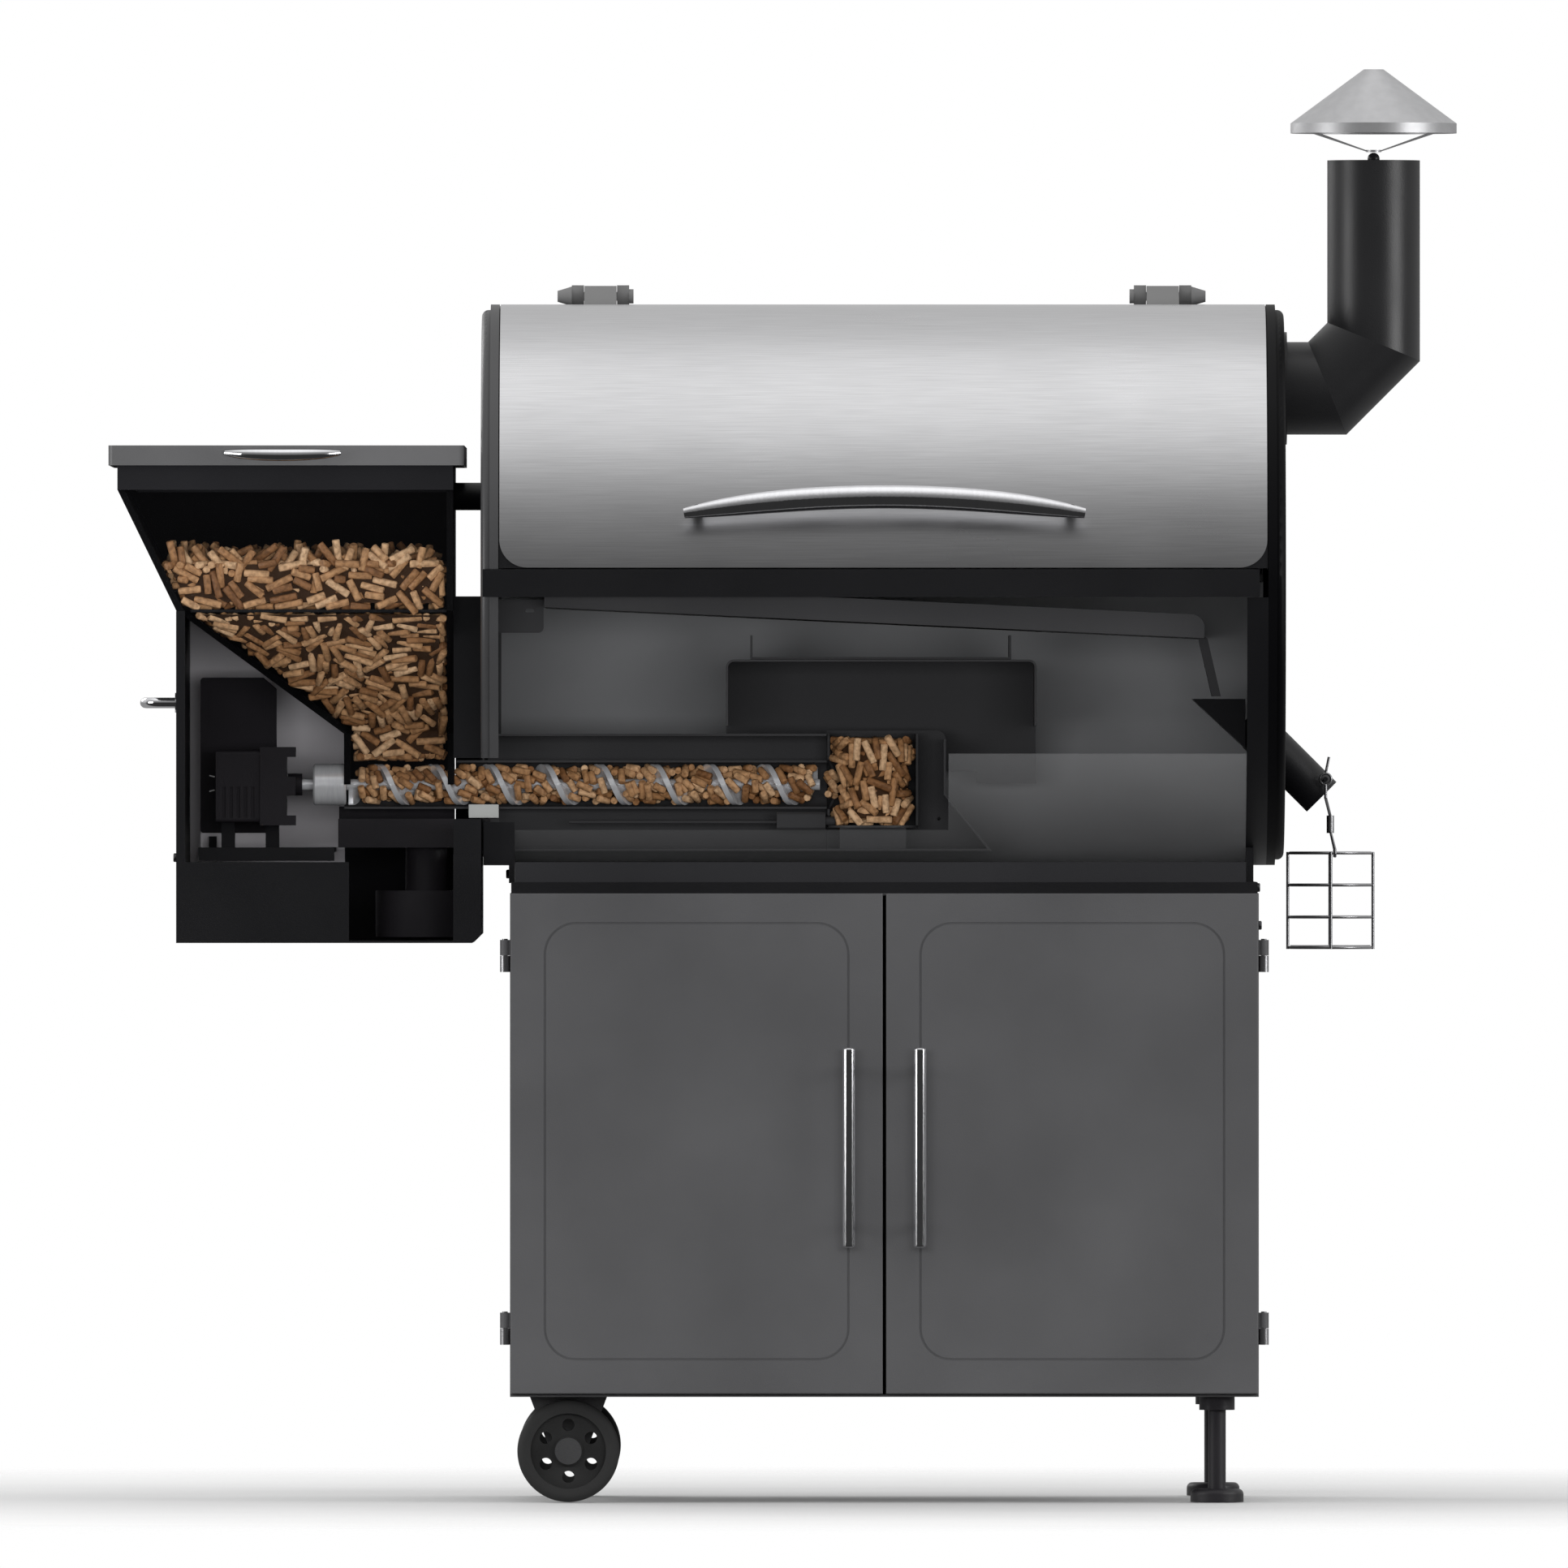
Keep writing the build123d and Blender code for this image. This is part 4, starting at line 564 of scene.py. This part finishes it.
def standing_places(rng, node, count):
    """Loose pellets that stick up out of the top of the hopper's heap."""
    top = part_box(node)[1][2]
    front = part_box("hopper_window")[0][1]
    low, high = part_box("hopper_bin")
    places, taken = [], {}
    while len(places) < count:
        x = rng.uniform(low[0] + 45 * MM, high[0] - 20 * MM)
        y = front + 13 * MM + (high[1] - front - 40 * MM) * rng.random() ** 3
        direction = Vector((rng.uniform(-0.9, 0.9), rng.uniform(-0.3, 0.3), rng.uniform(0.1, 1.3)))
        centre = (x, y, top + rng.uniform(-4, 6) * MM)
        length = rng.uniform(18, 27) * MM
        if claim(taken, beads(centre, direction, length)):
            places.append((centre, direction, length, PELLET_R))
    return places


def mouth_places(rng):
    """Pellets dropping off the auger's end into the pot."""
    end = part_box("auger_screw")[1][0]
    places, taken = [], {}
    for _ in range(800):
        out = Vector((0, rng.uniform(-15, 15), rng.uniform(-15, 15))) * MM
        centre = Vector((end + rng.uniform(7.5, 15) * MM, AUGER_AXIS.y, AUGER_AXIS.z)) + out
        direction = Vector((rng.uniform(0, 0.5), rng.uniform(-0.6, 0.6), rng.uniform(-1, 1)))
        length = rng.uniform(10, 15) * MM
        if out.length < 12 * MM and claim(taken, beads(centre, direction, length)):
            places.append((centre, direction, length, 0.95 * PELLET_R))
    return places


def throat_places(rng):
    """Pellets sinking out of the hopper's throat onto the auger."""
    left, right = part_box("shaft_coupling")[1][0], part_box("hopper_bin")[1][0]
    places, taken = [], {}
    for _ in range(600):
        x = rng.uniform(left + 13 * MM, right - 13 * MM)
        y = AUGER_AXIS.y + rng.uniform(-15, 0) * MM
        centre = (x, y, AUGER_AXIS.z + rng.uniform(24.5, 27) * MM)
        direction = Vector((rng.uniform(-1, 1), rng.uniform(-1, 1), rng.uniform(-0.1, 0.1)))
        length = rng.uniform(11, 15) * MM
        if claim(taken, beads(centre, direction, length)):
            places.append((centre, direction, length, PELLET_R))
    return places


def faces_front_or_up(normal):
    return normal.y < -0.3 or normal.z > 0.7


def hopper_pellets(material):
    """All the pellets that rest in the hopper, its throat and the burn pot."""
    rng = random.Random(SEED)
    places = packed_places(rng, "wood_pellets", faces_front_or_up)
    places += standing_places(rng, "wood_pellets", count=190)
    places += mouth_places(rng) + throat_places(rng)
    piece = heap("pellet_heap", places, material, "grill")
    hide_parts("wood_pellets")


def pellet_core(material):
    """The heap's unlit inside: the fuel's own shape, shrunk under the pellets."""
    mesh = NODES["wood_pellets"].data.copy()
    work = bmesh.new()
    work.from_mesh(mesh)
    bmesh.ops.remove_doubles(work, verts=work.verts, dist=0.01 * MM)
    work.normal_update()
    for vertex in work.verts:
        vertex.co -= vertex.normal * CORE_DEPTH
    work.to_mesh(mesh)
    work.free()
    mesh.materials.clear()
    mesh.materials.append(material)
    core = bpy.data.objects.new("pellet_core", mesh)
    bpy.context.collection.objects.link(core)
    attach(core, "grill")


def between_flights(point, start):
    """Whether a point is inside the tube and clear of the auger's flight."""
    y, z = point.y - AUGER_AXIS.y, point.z - AUGER_AXIS.z
    turn = math.atan2(y, -z) / (2 * math.pi)
    phase = ((point.x - start) / FLIGHT_PITCH - turn) % 1
    return FLIGHT_CLEAR < phase < 1 - FLIGHT_CLEAR and math.hypot(y, z) < CARRIED_REACH


def fed_pellets(material):
    """Pellets carried along between the auger's flights."""
    rng = random.Random(SEED + 1)
    low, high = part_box("auger_screw")
    flight_start = low[0] + 4 * MM
    places, taken = [], {}
    for _ in range(30000):
        x = rng.uniform(low[0] + 12 * MM, high[0] - 8 * MM)
        angle = rng.uniform(0, 2 * math.pi)
        radius = math.sqrt(rng.uniform(8.5 ** 2, 15.8 ** 2)) * MM
        out = Vector((0, math.sin(angle), -math.cos(angle)))
        round_axis = Vector((0, math.cos(angle), math.sin(angle)))
        lean = math.atan2(radius, FLIGHT_PITCH / (2 * math.pi)) + rng.uniform(-0.7, 0.7)
        direction = Vector((1, 0, 0)) * math.cos(lean) + round_axis * math.sin(lean)
        centre = Vector((x, AUGER_AXIS.y, AUGER_AXIS.z)) + out * radius
        length = rng.uniform(11, 17) * MM
        points = beads(centre, direction, length)
        if all(between_flights(p, flight_start) for p in points) and claim(taken, points):
            places.append((centre, direction, length, 0.95 * PELLET_R))
    piece = heap("fed_pellets", places, material, "auger")


# Printed details

TICKS = 10
TICK_FROM, TICK_STEP = -135, 30  # degrees round the dial, from straight up
TICK_NEAR, TICK_FAR, TICK_HALF_WIDTH = 23 * MM, 28 * MM, 0.6 * MM
TICK_BACK, TICK_FRONT = -0.2 * MM, 0.1 * MM


def dial_marks(material):
    """Tick marks printed round the dial."""
    knob = middle("control_knob")
    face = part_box("control_panel")[0][1] + 1.5 * MM
    corners = (
        (TICK_NEAR, -TICK_HALF_WIDTH),
        (TICK_NEAR, TICK_HALF_WIDTH),
        (TICK_FAR, TICK_HALF_WIDTH),
        (TICK_FAR, -TICK_HALF_WIDTH),
    )
    quads = ((0, 2, 4, 6), (7, 5, 3, 1), (0, 1, 3, 2), (2, 3, 5, 4), (4, 5, 7, 6), (6, 7, 1, 0))
    vertices, faces = [], []
    for i in range(TICKS):
        angle = math.radians(TICK_FROM + i * TICK_STEP)
        out = Vector((math.sin(angle), 0, math.cos(angle)))
        along = Vector((math.cos(angle), 0, -math.sin(angle)))
        start = len(vertices)
        for far, side in corners:
            point = Vector((knob.x, 0, knob.z)) + out * far + along * side
            for y in (face + TICK_BACK, face + TICK_FRONT):
                vertices.append((point.x, y, point.z))
        faces += [tuple(start + k for k in quad) for quad in quads]
    mesh = bpy.data.meshes.new("dial_marks")
    mesh.from_pydata(vertices, [], faces)
    mesh.materials.append(material)
    marks = bpy.data.objects.new("dial_marks", mesh)
    bpy.context.collection.objects.link(marks)
    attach(marks, "grill")


# Stage, light and camera

FLOOR_RADIUS = 6.0
FLOOR_FADE = (0.7, 2.2)  # distances from the middle between which the floor fades away

# name, place, size, power, whether shiny surfaces reflect it
LAMPS = (
    ("left_side", (-3.3, -1.6, 1.1), (1.6, 1.6), 36, True),
    ("right_side", (3.3, -1.8, 1.2), (1.6, 1.6), 42, True),
    ("fill", (0.0, -4.2, 0.72), (2.6, 0.6), 105, False),
    ("back_left", (-2.4, 2.6, 2.2), (1.5, 1.5), 30, True),
)

# (sine of the elevation, brightness) of the sky that the object sees
SKY_IN_FRONT = ((0, 0.03), (0.1, 0.14), (0.33, 0.2), (0.55, 0.32), (0.74, 0.62), (0.89, 1.0), (1, 1.2))
SKY_BEHIND = ((0, 0.3), (0.12, 0.6), (0.45, 0.62), (0.85, 0.76), (1, 1.2))
SKY_SEAM = 0.15

CAMERA_DISTANCE = 45.0  # far off, so the view is nearly without perspective
WIDTH_SHOWN = 1.42


def pale_floor():
    """Pale disc that fades out into the white around it, and isn't mirrored in shiny parts."""
    below = (0, 0, -0.5 * MM)
    bpy.ops.mesh.primitive_circle_add(vertices=96, radius=FLOOR_RADIUS, fill_type="NGON", location=below)
    floor = bpy.context.object
    floor.name = "floor"
    material, tree, shader = new_material("pale_floor")
    vector = coordinates(tree)
    tint = ramp(tree, noise(tree, vector, scale=3.0), (0.78, 0.78, 0.78), (0.82, 0.82, 0.82))
    tree.links.new(tint, shader.inputs["Base Color"])
    shader.inputs["Roughness"].default_value = 0.6
    clear = add(tree, "ShaderNodeBsdfTransparent")
    reach = add(tree, "ShaderNodeVectorMath", operation="LENGTH")
    fade = add(tree, "ShaderNodeMapRange")
    fade.inputs["From Min"].default_value, fade.inputs["From Max"].default_value = FLOOR_FADE
    mix = add(tree, "ShaderNodeMixShader")
    tree.links.new(vector, reach.inputs[0])
    tree.links.new(reach.outputs["Value"], fade.inputs["Value"])
    tree.links.new(fade.outputs["Result"], mix.inputs["Fac"])
    tree.links.new(shader.outputs["BSDF"], mix.inputs[1])
    tree.links.new(clear.outputs["BSDF"], mix.inputs[2])
    tree.links.new(mix.outputs["Shader"], tree.nodes["Material Output"].inputs["Surface"])
    floor.data.materials.append(material)
    floor.visible_glossy = False


def area_light(name, place, size, power, in_mirrors, aim):
    """Soft lamp pointed at a place; with in_mirrors off, shiny surfaces don't reflect it."""
    lamp = bpy.data.lights.new(name, "AREA")
    lamp.shape = "RECTANGLE"
    lamp.size, lamp.size_y = size
    lamp.energy = power
    item = bpy.data.objects.new(name, lamp)
    item.location = place
    item.rotation_euler = (Vector(aim) - Vector(place)).to_track_quat("-Z", "Y").to_euler()
    item.visible_glossy = in_mirrors
    bpy.context.collection.objects.link(item)


def sky(tree, height, stops):
    """Grey sky whose brightness follows (sine of the elevation, brightness) stops."""
    return colour_steps(tree, height, [(position, (value,) * 3) for position, value in stops])


def studio_world():
    """White to the camera; to the object, bright overhead, dim low in front and middling behind."""
    world = bpy.data.worlds.new("studio")
    bpy.context.scene.world = world
    world.use_nodes = True
    tree = world.node_tree
    background = tree.nodes["Background"]
    place = add(tree, "ShaderNodeTexCoord")
    split = add(tree, "ShaderNodeSeparateXYZ")
    tree.links.new(place.outputs["Generated"], split.inputs[0])
    front = sky(tree, split.outputs["Z"], SKY_IN_FRONT)
    back = sky(tree, split.outputs["Z"], SKY_BEHIND)
    behind = add(tree, "ShaderNodeMapRange")
    behind.inputs["From Min"].default_value = -SKY_SEAM
    behind.inputs["From Max"].default_value = SKY_SEAM
    tree.links.new(split.outputs["Y"], behind.inputs["Value"])
    around = add(tree, "ShaderNodeMix", data_type="RGBA")
    tree.links.new(behind.outputs["Result"], around.inputs["Factor"])
    tree.links.new(front, around.inputs["A"])
    tree.links.new(back, around.inputs["B"])
    seen = add(tree, "ShaderNodeBackground", Strength=1.0)
    tree.links.new(around.outputs["Result"], seen.inputs["Color"])
    background.inputs["Color"].default_value = (1, 1, 1, 1)
    path = add(tree, "ShaderNodeLightPath")
    mix = add(tree, "ShaderNodeMixShader")
    tree.links.new(path.outputs["Is Camera Ray"], mix.inputs["Fac"])
    tree.links.new(seen.outputs["Background"], mix.inputs[1])
    tree.links.new(background.outputs["Background"], mix.inputs[2])
    tree.links.new(mix.outputs["Shader"], tree.nodes["World Output"].inputs["Surface"])


def front_camera(centre):
    """Camera straight in front of the grill."""
    camera = bpy.data.cameras.new("camera")
    view = bpy.data.objects.new("camera", camera)
    bpy.context.collection.objects.link(view)
    view.location = (centre.x, centre.y - CAMERA_DISTANCE, centre.z)
    view.rotation_euler = (math.pi / 2, 0, 0)
    camera.sensor_width = 36
    camera.lens = camera.sensor_width * CAMERA_DISTANCE / WIDTH_SHOWN
    camera.clip_end = 2 * CAMERA_DISTANCE
    bpy.context.scene.camera = view
    bpy.context.scene.view_settings.view_transform = "Standard"


def studio():
    """Floor, surroundings, lamps and camera."""
    low, high = (Vector(c) for c in CAD_BOX)
    centre = (low + high) / 2
    pale_floor()
    studio_world()
    for lamp in LAMPS:
        area_light(*lamp, aim=centre)
    front_camera(centre)


dress_cad_nodes()
wood = pressed_wood("pressed_wood")
hopper_pellets(wood)
pellet_core(moulded("heap_shadow", (0.035, 0.017, 0.008), rough=0.9, grain=300.0))
fed_pellets(wood)
dial_marks(moulded("printed_white", (0.6, 0.6, 0.6), rough=0.6))
studio()
